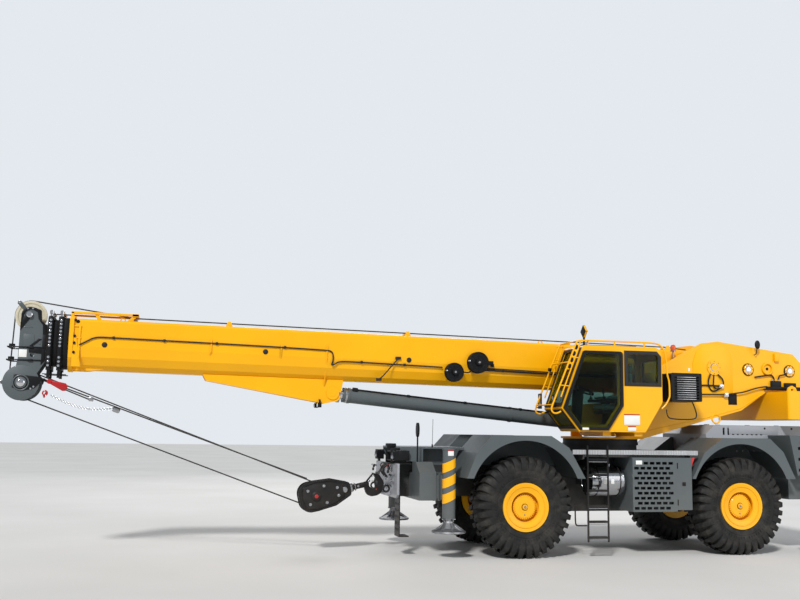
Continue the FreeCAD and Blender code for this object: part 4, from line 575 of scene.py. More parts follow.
def woven(name, code):
    """Woven seat cloth: threads about 2 mm apart, drawn at 8 mm."""
    material, tree, shader, place = blank_material(name, 0.9)
    shader.inputs["Sheen Weight"].default_value = 0.4
    colour = linear(code)
    threads = node(tree, "ShaderNodeTexWave", {"Vector": place, "Scale": 20.0, "Distortion": 2.0},
                   bands_direction="DIAGONAL")
    mix = node(tree, "ShaderNodeMix", {"Factor": threads.outputs["Fac"], "A": toned(colour, 0.7),
                                       "B": toned(colour, 1.2)}, data_type="RGBA")
    tree.links.new(mix.outputs["Result"], shader.inputs["Base Color"])
    bump(tree, threads.outputs["Fac"], shader, 0.001, 0.7)
    return material


def glowless_lens(name, code, rough=0.12):
    """Moulded lamp lens: clear coloured plastic with fine ribs."""
    material, tree, shader, place = blank_material(name, rough, coat=0.6)
    ribs = node(tree, "ShaderNodeTexWave", {"Vector": place, "Scale": 30.0}, bands_direction="Z")
    colour = linear(code)
    mix = node(tree, "ShaderNodeMix", {"Factor": ribs.outputs["Fac"], "A": toned(colour, 0.85),
                                       "B": colour}, data_type="RGBA")
    tree.links.new(mix.outputs["Result"], shader.inputs["Base Color"])
    bump(tree, ribs.outputs["Fac"], shader, 0.001, 0.5)
    return material


def make_finishes(colours):
    """All finishes of the crane."""
    dust = colours.dust
    enamel("yellow enamel", colours.yellow, 0.34, 0.12, dust, most=0.22, tone=0.94)
    enamel("slate enamel", colours.slate, 0.40, 0.15, dust, most=0.4, tone=0.88)
    enamel("grey enamel", colours.grey, 0.42, 0.2, dust, most=0.4)
    enamel("black enamel", colours.black, 0.42, 0.04, dust, most=0.3, tone=0.7, gloss=0.2)
    enamel("chassis enamel", "2A2D2F", 0.55, 0.1, dust, most=0.7, tone=0.7)
    enamel("red enamel", colours.red, 0.35, 0.4, dust, most=0.3)
    enamel("white decal", "E8E8E4", 0.35, 0.2, dust, most=0.2, tone=0.96)
    tread_plate("slate tread plate", "4A4F50", 0.5, 0.0, dust)
    tread_plate("bright tread plate", "C9CACB", 0.35, 1.0, "8F9090")
    # Cast aluminium: bright with a coarse skin from the mould
    bare_metal("cast aluminium", "B4B5B7", 0.46, 0.010, 0.0012, tone=0.6)
    bare_metal("machined steel", "B9BABB", 0.24, 0.004, 0.0003, stretch=(1, 8, 1))
    bare_metal("polished stainless", "B5B6B9", 0.12, 0.020, 0.0003, stretch=(6, 1, 1), tone=0.85)
    bare_metal("hard chrome", "D9DADC", 0.08, 0.030, 0.0002, tone=0.95)
    # Greased wire rope: dark steel with grease between its strands
    bare_metal("greased rope", "4C4B48", 0.45, 0.003, 0.0005, metal=0.7, tone=0.6)
    bare_metal("cast iron", "55524E", 0.65, 0.006, 0.001, metal=0.4, tone=0.7)
    bare_metal("cast nylon", colours.nylon, 0.45, 0.008, 0.0004, metal=0.0, tone=0.88)
    bare_metal("moulded trim", "1A1B1C", 0.55, 0.003, 0.0006, metal=0.0, tone=0.8)
    bare_metal("hose rubber", "161616", 0.6, 0.004, 0.0006, metal=0.0, tone=0.7)
    tyre_rubber("tyre rubber", colours.rubber, dust)
    cab_glass("tinted glass")
    woven("seat cloth", "7E9490")
    glowless_lens("clear lens", "DDE3E6")
    glowless_lens("amber lens", "E2560C")
    glowless_lens("red lens", "B01512")


NODE_FINISH = {
    "yellow enamel": ("turntable", "counterweight", "cab_body", "cab_roof_fittings", "boom_base",
                      "boom_mid_1",
                      "boom_mid_2", "rim_front_left", "rim_front_right", "rim_rear_left", "rim_rear_right"),
    "slate enamel": ("front_deck", "fenders", "right_tank", "hood_panels", "outrigger_boxes", "boom_head",
                     "lift_barrel", "guard_box", "beam_front_left", "beam_front_right", "beam_rear_left",
                     "beam_rear_right"),
    "grey enamel": ("end_plate", "hood"),
    "black enamel": ("front_fittings", "hanging_step", "ladders", "oil_cooler", "cab_door", "cable_reels",
                     "hook_block", "hook"),
    "chassis enamel": ("carrier_frame", "axles", "knuckle_front_left", "knuckle_front_right",
                       "knuckle_rear_left", "knuckle_rear_right"),
    "slate tread plate": ("deck",),
    "bright tread plate": ("deck_strips",),
    "polished stainless": ("canister",),
    "cast aluminium": ("jack_front_left", "jack_front_right", "jack_rear_left", "jack_rear_right"),
    "machined steel": ("hoist_drum_main", "hoist_drum_aux"),
    "hard chrome": ("lift_rod",),
    "cast iron": ("engine_block",),
    "cast nylon": ("head_sheaves",),
    "tinted glass": ("cab_glass", "cab_door_glass"),
    "moulded trim": ("cab_interior",),
    "tyre rubber": ("tyre_front_left", "tyre_front_right", "tyre_rear_left", "tyre_rear_right"),
    "greased rope": ("hoist_falls",),
}


class CRANE_OT_finishes(bpy.types.Operator):
    """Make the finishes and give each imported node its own"""

    bl_idname = "crane.finishes"
    bl_label = "Finishes"

    def execute(self, context):
        make_finishes(context.scene.crane_finish)
        for finish, names in NODE_FINISH.items():
            for name in names:
                mesh = frame["nodes"][name].data
                mesh.materials.clear()
                mesh.materials.append(bpy.data.materials[finish])
        return {"FINISHED"}


class CRANE_OT_stage(bpy.types.Operator):
    """Pale floor, soft studio light and the camera"""

    bl_idname = "crane.stage"
    bl_label = "Stage"

    def execute(self, context):
        settings = context.scene.crane_stage
        free_hands()
        bpy.ops.mesh.primitive_plane_add(size=2 * settings.floor, location=(0, 0, 0))
        floor = settle()
        floor.name = "floor"
        material, tree, shader, place = blank_material("pale concrete", 0.85)
        tree.links.new(mottled(tree, place, linear("D3D1CC"), linear("DEDCD8"), 4.0),
                       shader.inputs["Base Color"])
        floor.data.materials.append(material)

        world = bpy.data.worlds.new("studio")
        context.scene.world = world
        world.use_nodes = True
        tree = world.node_tree
        tree.nodes.clear()
        seen = node(tree, "ShaderNodeLightPath")
        ray = node(tree, "ShaderNodeMath",
                   {0: seen.outputs["Is Camera Ray"], 1: seen.outputs["Is Transmission Ray"]},
                   operation="MAXIMUM").outputs[0]
        soft = node(tree, "ShaderNodeBackground", {"Color": linear("DDE4EE"), "Strength": 0.5})
        shown = node(tree, "ShaderNodeBackground", {"Color": linear("E4E9EF"), "Strength": 1.0})
        both = node(tree, "ShaderNodeMixShader", {0: ray, 1: soft.outputs[0], 2: shown.outputs[0]})
        node(tree, "ShaderNodeOutputWorld", {"Surface": both.outputs[0]})

        sun = bpy.data.lights.new("key", "SUN")
        sun.energy = 2.6
        sun.angle = 0.12
        fill = bpy.data.lights.new("fill", "AREA")
        fill.energy = 1300
        fill.size = 16
        rim = bpy.data.lights.new("rim", "AREA")
        rim.energy = 1500
        rim.size = 12
        for data, spot, aim in ((sun, (-14, -24, 24), (0, 0, 2)), (fill, (20, -20, 10), (3, 0, 2)),
                                (rim, (4, 22, 18), (2, 0, 3))):
            lamp = bpy.data.objects.new(data.name, data)
            context.scene.collection.objects.link(lamp)
            lamp.location = spot
            lamp.rotation_euler = (Vector(aim) - Vector(spot)).to_track_quat("-Z", "Y").to_euler()

        yaw, pitch, roll = settings.yaw, settings.pitch, settings.roll
        forward = Vector((math.sin(yaw) * math.cos(pitch), math.cos(yaw) * math.cos(pitch), math.sin(pitch)))
        right = Vector((math.cos(yaw), -math.sin(yaw), 0))
        up = right.cross(forward)
        level = Matrix((right, up, -forward)).transposed()
        data = bpy.data.cameras.new("camera")
        data.lens = settings.lens
        data.sensor_width = 36
        data.clip_end = 500
        camera = bpy.data.objects.new("camera", data)
        context.scene.collection.objects.link(camera)
        turn = level @ Matrix.Rotation(roll, 3, "Z")
        camera.matrix_world = Matrix.Translation(settings.eye) @ turn.to_4x4()
        context.scene.camera = camera
        context.scene.view_settings.view_transform = "Standard"
        return {"FINISHED"}


class CRANE_OT_tyres(bpy.types.Operator):
    """Earthmover tyres with staggered shoulder lugs and ringed walls"""

    bl_idname = "crane.tyres"
    bl_label = "Tyres"

    def wall_and_crown(self, settings):
        """Carcass, spun from its section; its axle is the Y axis."""
        half = TYRE_W / 2
        crown = TYRE_R - settings.tread
        section = [(0.40, half - 0.075), (0.424, half - 0.068), (0.432, half - 0.045), (0.452, half - 0.040),
                   (0.470, half - 0.028), (0.500, half - 0.024), (0.506, half - 0.018), (0.520, half - 0.018),
                   (0.526, half - 0.024), (0.585, half - 0.010), (0.640, half - 0.006), (0.700, half - 0.014),
                   (0.752, half - 0.032), (crown - 0.040, half - 0.070), (crown - 0.008, half - 0.130),
                   (crown, half - 0.220), (crown, 0.04), (crown, 0.0)]
        section = section + [(r, -y) for r, y in reversed(section[:-1])]
        free_hands()
        bpy.ops.mesh.primitive_circle_add(vertices=len(section), radius=1, fill_type="NOTHING")
        obj = bpy.context.object
        for vertex, (r, y) in zip(obj.data.vertices, section):
            vertex.co = (0, y, r)
        edit(obj, mode="VERT")
        bpy.ops.mesh.spin(steps=120, angle=2 * math.pi, center=(0, 0, 0), axis=(0, 1, 0))
        bpy.ops.mesh.select_all(action="SELECT")
        bpy.ops.mesh.remove_doubles(threshold=0.0005)
        bpy.ops.mesh.normals_make_consistent(inside=False)
        bpy.ops.object.mode_set(mode="OBJECT")
        return settle()

    def lug(self, settings):
        """One shoulder lug, standing at the top of the tyre on its +Y side."""
        half = TYRE_W / 2
        foot = 0.60
        inner = 0.018
        w = settings.lug_width / 2
        free_hands()
        bpy.ops.mesh.primitive_cube_add(size=1, location=(0, (inner + half) / 2, (foot + TYRE_R) / 2),
                                        scale=(2 * w, half - inner, TYRE_R - foot))
        obj = settle()
        edit(obj)
        for x in (-0.25, 0.0, 0.25):
            bpy.ops.mesh.select_all(action="SELECT")
            bpy.ops.mesh.bisect(plane_co=(0, (inner + half) / 2 + x * (half - inner), 0), plane_no=(0, 1, 0))
        # The shoulder slopes off outside, and the foot dies into the wall
        for point, normal in (((0, half - 0.118, TYRE_R), (0, 0.32, 1.0)),
                              ((0, half - 0.048, TYRE_R - 0.030), (0, 1.0, 0.75)),
                              ((0, half, TYRE_R - 0.115), (0, 1.0, 0.22)),
                              ((0, half - 0.062, TYRE_R - 0.190), (0, -0.75, -1.0))):
            bpy.ops.mesh.select_all(action="SELECT")
            bpy.ops.mesh.bisect(plane_co=point, plane_no=normal, use_fill=True, clear_outer=True)
        bpy.ops.object.mode_set(mode="OBJECT")
        for vertex in obj.data.vertices:
            rise = (vertex.co.z - foot) / (TYRE_R - foot)
            inward = 1 - (vertex.co.y - inner) / (half - inner)
            vertex.co.x *= 1.12 - 0.27 * rise - 0.16 * inward
            vertex.co.x += settings.slant * inward ** 2
        return soften(obj, 0.006, segments=2, angle=0.5)

    def execute(self, context):
        settings = context.scene.crane_tyre
        carcass = self.wall_and_crown(settings)
        turn = 2 * math.pi / settings.lugs
        outer = around(self.lug(settings), settings.lugs, (0, 0, 0), (0, 1, 0))
        inner = self.lug(settings)
        inner.matrix_world = Matrix.Rotation(math.pi, 4, "Z") @ Matrix.Rotation(turn / 2, 4, "Y")
        free_hands()
        inner.select_set(True)
        bpy.context.view_layer.objects.active = inner
        inner = around(settle(), settings.lugs, (0, 0, 0), (0, 1, 0))
        # Wear bars and moulded ribs round both walls
        ribs = []
        for side in (-1, 1):
            rib = block((-0.004, TYRE_W / 2 - 0.020, 0.545), (0.004, TYRE_W / 2 - 0.004, 0.595), width=0.002)
            if side < 0:
                rib.matrix_world = Matrix.Rotation(math.pi, 4, "Z")
                free_hands()
                rib.select_set(True)
                bpy.context.view_layer.objects.active = rib
                rib = settle()
            ribs.append(around(rib, settings.lugs * 2, (0, 0, 0), (0, 1, 0)))
        tyre = joined([carcass, outer, inner] + ribs)
        random.seed(7)
        for i, corner in enumerate(CORNERS):
            free_hands()
            tyre.select_set(True)
            bpy.context.view_layer.objects.active = tyre
            if i < len(CORNERS) - 1:
                bpy.ops.object.duplicate(linked=False)
            obj = bpy.context.object
            low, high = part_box("tyre_" + corner)
            facing = Matrix.Rotation(random.uniform(0, turn), 4, "Y")
            if corner.endswith("left"):
                facing = Matrix.Rotation(math.pi, 4, "Z") @ facing
            obj.matrix_world = Matrix.Translation((low + high) / 2) @ facing
            settle()
            made = piece("tyre_detail_" + corner, [obj], "wheel_" + corner, "tyre rubber", smooth=0.5)
            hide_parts("tyre_" + corner)
        return {"FINISHED"}


class CRANE_OT_wheels(bpy.types.Operator):
    """Hub caps with their toothed rings, wheel nuts, lock rings and valves"""

    bl_idname = "crane.wheels"
    bl_label = "Wheel fittings"

    def at_wheel(self, objects, corner):
        """Bring copies of wheel fittings to a wheel, turned outwards."""
        low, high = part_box("tyre_" + corner)
        place = Matrix.Translation((low + high) / 2)
        if corner.endswith("left"):
            place = place @ Matrix.Rotation(math.pi, 4, "Z")
        made = []
        for obj in objects:
            free_hands()
            obj.select_set(True)
            bpy.context.view_layer.objects.active = obj
            bpy.ops.object.duplicate(linked=False)
            made.append(settle(place))
        return made

    def execute(self, context):
        settings = context.scene.crane_tyre
        hub_face = 0.215
        disc_face = 0.150
        tooth = block((-0.008, hub_face - 0.03, 0.180), (0.008, hub_face + 0.012, 0.214), width=0.003)
        cap = turned([(0.186, 0), (0.186, 0.012), (0.178, 0.018), (0.10, 0.020), (0.096, 0.024),
                      (0.0901, 0.024)],
                     (0, hub_face - 0.004, 0), (0, 1, 0), sides=64)
        boss = turned([(0.048, 0), (0.048, 0.020), (0.042, 0.026), (0.022, 0.026)], (0, hub_face + 0.018, 0),
                      (0, 1, 0), sides=40)
        locks = [ring((0, 0.291, 0), (0, 1, 0), 0.392, 0.008, sides=80),
                 ring((0, 0.297, 0), (0, 1, 0), 0.352, 0.005, sides=80),
                 ring((0, 0.262, 0), (0, 1, 0), 0.262, 0.008, sides=64)]
        nut = bolt((0, disc_face, 0.229), (0, 1, 0), 0.013)
        yellow = [around(tooth, 36, (0, 0, 0), (0, 1, 0)), around(nut, settings.nuts, (0, 0, 0), (0, 1, 0)),
                  cap, boss] + locks
        plug = bolt((0, hub_face + 0.043, 0), (0, 1, 0), 0.018)
        drain = bolt((0, hub_face + 0.014, -0.135), (0, 1, 0), 0.011)
        valve = pipe([(0.24, 0.15, 0.10), (0.245, 0.19, 0.105), (0.262, 0.245, 0.112),
                      (0.27, 0.275, 0.115)], 0.006)
        bright = [plug, drain, valve]
        for corner in CORNERS:
            body = "wheel_" + corner
            piece("hub_cap_" + corner, self.at_wheel(yellow, corner), body, "yellow enamel")
            piece("wheel_plugs_" + corner, self.at_wheel(bright, corner), body, "machined steel")
        free_hands()
        for obj in yellow + bright:
            obj.select_set(True)
        bpy.ops.object.delete()
        return {"FINISHED"}


class CRANE_OT_boom(bpy.types.Operator):
    """Boom trim: collars with their bolts, stiffeners, hoses, reels' faces, rope guides and lamps"""

    bl_idname = "crane.boom"
    bl_label = "Boom trim"

    def collars(self):
        """Black frames with chrome bolts on the mouths of the two middle sections, with black sleeves painted
        as the shade in the gaps behind them.
        """
        for index, s, back in ((1, 12.150, 12.066), (2, 12.320, 12.248)):
            body = "boom_mid_%d" % index
            outer = section_outline(0, 0.045 - 0.02 * index)
            inner = inner_outline(section_outline(index, 0.0), 0.002)
            # The second plate is a black sleeve, grown past its section, over the short run between this
            # collar and the part behind it: painted shade in that gap.
            made = [frame_plate(outer, inner, -s - 0.088, -s - 0.004, BOOM, 0.004, "X"),
                    frame_plate(section_outline(index, 0.075), inner, -s - 0.004, -back, BOOM, 0.003, "X")]
            for a in (0.002, 0.078):
                made.append(frame_plate(section_outline(0, 0.060 - 0.02 * index), section_outline(0, -0.03),
                                        -s - a - 0.012, -s - a, BOOM, 0.003, "X"))
            for side in (-1, 1):
                made.append(block((-s - 0.075, side * 0.330, -0.58), (-s - 0.015, side * 0.352, 0.34), BOOM,
                                  0.003))
                made.append(block((-s - 0.070, side * 0.16, -0.70), (-s - 0.020, side * 0.22, -0.52), BOOM,
                                  0.005))
                made.append(bar((-s - 0.14, side * 0.19, -0.64), (-s + 0.08, side * 0.19, -0.64), 0.008,
                                BOOM, 12))
            made.append(bar((-s - 0.045, -0.20, -0.66), (-s - 0.045, 0.20, -0.66), 0.010, BOOM, 12))
            piece("collar_%d" % index, made, body, "black enamel")
            heads = []
            for side in (-1, 1):
                heights = [0.27 - 0.062 * i for i in range(8)] + [-0.36, -0.43, -0.50]
                heads += bolts([(-s - 0.045, side * 0.350, h) for h in heights], (0, side, 0), 0.016, BOOM)
                heads.append(turned([(0.024, 0), (0.024, 0.045), (0.036, 0.05), (0.038, 0.10),
                                     (0.022, 0.115)],
                                    (-s - 0.045, side * 0.235, 0.335), (0, 0, 1), BOOM, 24))
            piece("collar_bolts_%d" % index, heads, body, "hard chrome")

    def stiffeners(self):
        """Plates and gussets welded to the base section."""
        made = []
        for side in (-1, 1):
            wall = 0.320
            for x, top, low in ((7.499, 0.09, -0.36), (6.268, 0.05, -0.40), (5.440, 0.10, -0.60)):
                s = PIVOT.x - SLEW_X + x
                web = [(side * 0.316, top), (side * 0.345, top - 0.03), (side * 0.345, -0.15),
                       (side * 0.16, low - 0.05),
                       (side * 0.13, low), (side * 0.13, -0.53), (side * 0.25, -0.34), (side * 0.316, -0.13)]
                made.append(plate(web, -s - 0.010, -s + 0.010, BOOM, 0.003, "X"))
            # Flange gussets and the doubler behind the mouth
            for h in (0.18, -0.02):
                made.append(block((-11.99, side * wall, h), (-11.86, side * (wall + 0.02), h + 0.02), BOOM,
                                  0.002))
            made.append(block((-11.90, side * 0.316, -0.36), (-11.87, side * 0.342, 0.20), BOOM, 0.003))
            made.append(plate([(-11.99, -0.50), (-11.99, 0.02), (-11.93, -0.02), (-11.84, -0.50)],
                              side * 0.318, side * 0.338, BOOM, 0.002))
            made.append(plate([(-11.99, -0.56), (-11.99, -0.50), (-11.55, -0.50), (-11.45, -0.52),
                               (-11.75, -0.56)],
                              side * 0.135, side * 0.155, BOOM, 0.002))
            # Tail doubler plates round the pivot
            made.append(turned([(0.21, 0), (0.21, 0.010), (0.20, 0.014)], (0, side * 0.306, 0),
                               (0, side, 0), BOOM, 48))
            made.append(block((-3.2, side * 0.318, 0.255), (-1.2, side * 0.328, 0.275), BOOM, 0.002))
        # Frame over the mouth that carries the rope roller
        for side in (-1, 1):
            made.append(block((-12.05, side * 0.25 - 0.03, 0.41), (-10.93, side * 0.25 + 0.03, 0.45), BOOM,
                              0.004))
            made.append(block((-12.05, side * 0.25 - 0.03, 0.32), (-12.00, side * 0.25 + 0.03, 0.44), BOOM,
                              0.004))
            made.append(plate([(-11.13, 0.32), (-11.05, 0.32), (-10.95, 0.415), (-11.02, 0.415)],
                              side * 0.25 - 0.01, side * 0.25 + 0.01, BOOM, 0.002))
            made.append(plate([(-11.62, 0.32), (-11.54, 0.32), (-11.60, 0.415), (-11.66, 0.415)],
                              side * 0.25 - 0.01, side * 0.25 + 0.01, BOOM, 0.002))
        made.append(block((-11.04, -0.28, 0.405), (-10.93, 0.28, 0.455), BOOM, 0.004))
        for s in (9.36, 6.07, 0.75):
            for side in (-1, 1):
                made.append(plate([(-s - 0.07, 0.32), (-s + 0.07, 0.32), (-s + 0.025, 0.43),
                                   (-s - 0.025, 0.43)],
                                  side * 0.11 - 0.008, side * 0.11 + 0.008, BOOM, 0.002))
            made.append(block((-s - 0.09, -0.13, 0.323), (-s + 0.09, 0.13, 0.331), BOOM, 0.002))
        # Lifting eyes along the top
        for s in (11.2, 3.4):
            eye = frame_plate([(0.05 * math.cos(a * 0.5236), 0.05 * math.sin(a * 0.5236)) for a in range(12)],
                              [(0.026 * math.cos(a * 0.5236),
                                0.026 * math.sin(a * 0.5236)) for a in range(12)],
                              -0.008, 0.008, None, 0.002)
            free_hands()
            eye.select_set(True)
            bpy.context.view_layer.objects.active = eye
            made.append(settle(BOOM @ Matrix.Translation((-s, 0.0, 0.36))))
        piece("boom_stiffeners", made, "boom_base", "yellow enamel")

    def hoses(self, hose):
        """Hose lines along the left side, with their clips, and the small fittings there."""
        y = -0.338
        line = [(-9.713, 3.541), (-9.60, 3.60), (-9.459, 3.687), (-9.2, 3.682), (-6.644, 3.623),
                (-5.50, 3.585),
                (-5.36, 3.575), (-5.325, 3.50), (-5.325, 3.40), (-5.36, 3.31), (-5.30, 3.33), (-5.223, 3.390),
                (-4.9, 3.388), (-3.28, 3.335)]
        made = [pipe([(x, y, z) for x, z in line], hose * 0.9, SLEW)]
        made.append(pipe([(x, y, z) for x,
                          z in ((-2.62, 3.31), (-2.2, 3.30), (-1.3, 3.27), (-0.2, 3.24), (0.9, 3.24),
                                                 (1.6, 3.30), (1.9, 3.40))], hose * 1.3, SLEW))
        made.append(pipe([(x, y - 0.012, z + 0.030) for x, z in ((-2.62, 3.31), (-2.2, 3.30), (-1.3, 3.27),
                                                                 (-0.2, 3.24), (0.9, 3.24), (1.7, 3.33))],
                         hose * 0.8, SLEW))
        made.append(pipe([(-4.479, -0.335, 3.080), (-4.42, -0.36, 3.13), (-4.25, -0.37, 3.33),
                          (-4.121, -0.35, 3.473)],
                         hose * 0.8, SLEW))
        for x, z in ((-4.479, 3.080), (-4.121, 3.480)):
            made.append(block((x - 0.05, -0.36, z - 0.025), (x + 0.05, -0.315, z + 0.025), SLEW, 0.006))
        for x, z in ((-9.296, 3.558), (-6.543, 3.523), (-3.913, 3.453)):
            made.append(turned([(0.046, 0), (0.046, 0.008), (0.040, 0.012)], on_slew(x, -0.319, z),
                               (0, -1, 0), None, 32))
        for x, z in ((-9.15, 3.681), (-8.3, 3.661), (-7.4, 3.641), (-6.2, 3.612), (-4.8, 3.387),
                     (-4.0, 3.360), (-2.1, 3.298), (-1.2, 3.268), (-0.2, 3.240)):
            made.append(block((x - 0.02, -0.352, z - 0.024), (x + 0.02, -0.318, z + 0.024), SLEW, 0.004))
        piece("boom_hoses", made, "boom_base", "hose rubber")

    def reels(self):
        """Faces of the two cable reels: spokes, hub caps and slip-ring housings."""
        black, bright = [], []
        for x, z, r in ((-3.066, 3.246, 0.176), (-2.607, 3.436, 0.200)):
            face = BOOM_FACE_Y
            black.append(ring(on_slew(x, face - 0.004, z), (0, 1, 0), r - 0.012, 0.007, None, 56))
            black.append(ring(on_slew(x, face - 0.002, z), (0, 1, 0), r * 0.62, 0.005, None, 48))
            rib = block((-0.006, face - 0.010, r * 0.28), (0.006, face - 0.001, r - 0.014), None, 0.002)
            around(rib, 8, (0, 0, 0), (0, 1, 0))
            free_hands()
            rib.select_set(True)
            bpy.context.view_layer.objects.active = rib
            black.append(settle(Matrix.Translation(on_slew(x, 0, z))))
            black.append(turned([(0.058, 0), (0.058, 0.05), (0.05, 0.06)], on_slew(x, face, z), (0, -1, 0),
                                None, 32))
            bright.append(turned([(0.022, 0), (0.022, 0.012), (0.016, 0.018)], on_slew(x, face - 0.058, z),
                                 (0, -1, 0), None, 24))
        black.append(block((-2.44, -0.44, 3.40), (-2.32, -0.35, 3.47), SLEW, 0.008))
        black.append(block((-2.36, -0.42, 3.36), (-2.30, -0.37, 3.42), SLEW, 0.006))
        black.append(pipe([on_slew(-2.93, -0.40, 3.26), on_slew(-2.80, -0.41, 3.24),
                           on_slew(-2.72, -0.40, 3.30)], 0.012))
        bright += [block((-2.815, -0.447, 3.452), (-2.770, -0.436, 3.478), SLEW, 0.004),
                   block((-3.245, -0.447, 3.262), (-3.205, -0.436, 3.286), SLEW, 0.004)]
        piece("reel_faces", black, "boom_base", "black enamel")
        piece("reel_caps", bright, "boom_base", "hard chrome")

    def rollers(self):
        """Rope rollers in the guides on the boom's top, and small black discs on the mouth."""
        made = []
        for s in (10.98, 9.36, 6.07, 0.75):
            made.append(turned([(0.030, 0), (0.030, 0.03), (0.020, 0.05), (0.020, 0.15), (0.030, 0.17),
                                (0.030, 0.20)],
                               (-s, -0.10, 0.366), (0, 1, 0), BOOM, 28))
        holes = []
        for side in (-1, 1):
            for h in (0.29, 0.02, -0.10, -0.26):
                holes.append(turned([(0.024, 0), (0.024, 0.004), (0.018, 0.008)],
                                    (-11.965, side * 0.351, h), (0, side, 0), BOOM, 24))
            holes.append(turned([(0.030, 0), (0.030, 0.006), (0.022, 0.010)], (-11.925, side * 0.318, 0.27),
                                (0, side, 0), BOOM, 24))
        piece("mouth_bolts", holes, "boom_base", "black enamel")
        piece("rope_rollers", made, "boom_base", "machined steel")

    def lamps(self):
        """Work lamps under the keel's front."""
        cases, lenses = [], []
        for side in (-1, 1):
            y = side * 0.19
            cases.append(block((-5.570, y - 0.045, 2.560), (-5.500, y + 0.045, 2.645), SLEW, 0.008))
            cases.append(block((-5.545, y - 0.012, 2.640), (-5.515, y + 0.012, 2.700), SLEW, 0.003))
            cases.append(block((-5.545, min(y, side * 0.10), 2.690), (-5.515, max(y, side * 0.10), 2.705),
                               SLEW, 0.003))
            lenses.append(turned([(0.036, 0), (0.036, 0.008), (0.026, 0.014)], on_slew(-5.568, y, 2.603),
                                 (-1, 0, 0), None, 28))
        piece("boom_lamp_cases", cases, "boom_base", "black enamel")
        piece("boom_lamp_lenses", lenses, "boom_base", "clear lens")

    def execute(self, context):
        trim = context.scene.crane_trim
        self.collars()
        self.stiffeners()
        self.hoses(trim.hose)
        self.reels()
        self.rollers()
        self.lamps()
        return {"FINISHED"}


class CRANE_OT_ropes(bpy.types.Operator):
    """Hoist rope over the boom, round the head and in the drums"""

    bl_idname = "crane.ropes"
    bl_label = "Ropes"

    def execute(self, context):
        settings = context.scene.crane_rope
        r = settings.radius
        high = 0.404
        # The rope runs in steps that slide out of one another with the sections
        for body, start, end, share in (("boom_base", 0.75, 12.02, 1.0), ("boom_mid_1", 3.45, 12.20, 0.97),
                                        ("boom_mid_2", 3.60, 12.36, 0.94)):
            run = bar((-start, 0, high), (-end, 0, high), r * share, BOOM, 16)
            piece("rope_" + body, [run], body, "greased rope")
        # The rope leaves the top sheave on its tangent and comes down to the roller behind the mouth
        roller = Vector((-10.98, 0, high))
        sheave = Vector((-12.725, 0, 0.352))
        reach = 0.250 + r
        gap = roller - sheave
        angle = math.atan2(gap.z, gap.x) + math.acos(reach / gap.length)
        lift_off = sheave + Vector((math.cos(angle), 0, math.sin(angle))) * reach
        wrap = [sheave + Vector((math.cos(a), 0, math.sin(a))) * reach
                for a in [angle + (math.radians(186) - angle) * i / 12 for i in range(13)]]
        lead = [bar((-3.75, 0, high), roller, r * 0.91, BOOM, 16), bar(roller, lift_off, r, BOOM, 16),
                pipe(wrap, r, BOOM), bar(wrap[-1] + Vector((0, 0, 0.02)), (-13.010, 0, -0.80), r, BOOM, 16)]
        piece("rope_head", lead, "boom_head", "greased rope")
        tail = bar((-0.75, 0, high), (-0.30, 0, 0.372), r, BOOM, 16)
        piece("rope_tail", [tail], "boom_base", "greased rope")
        for name, x, z in (("main", 2.920, 3.447), ("aux", 3.840, 3.438)):
            turn = ring(on_slew(x, -0.385, z), (0, 1, 0), 0.2165, r, None, 48)
            coil = [row(turn, 33, (0, 2.09 * r, 0))]
            if name == "main":
                turn = ring(on_slew(x, -0.373, z), (0, 1, 0), 0.2165 + 1.7 * r, r, None, 48)
                coil.append(row(turn, 20, (0, 2.09 * r, 0)))
            piece("rope_drum_" + name, coil, "hoist_" + name, "greased rope")
        return {"FINISHED"}


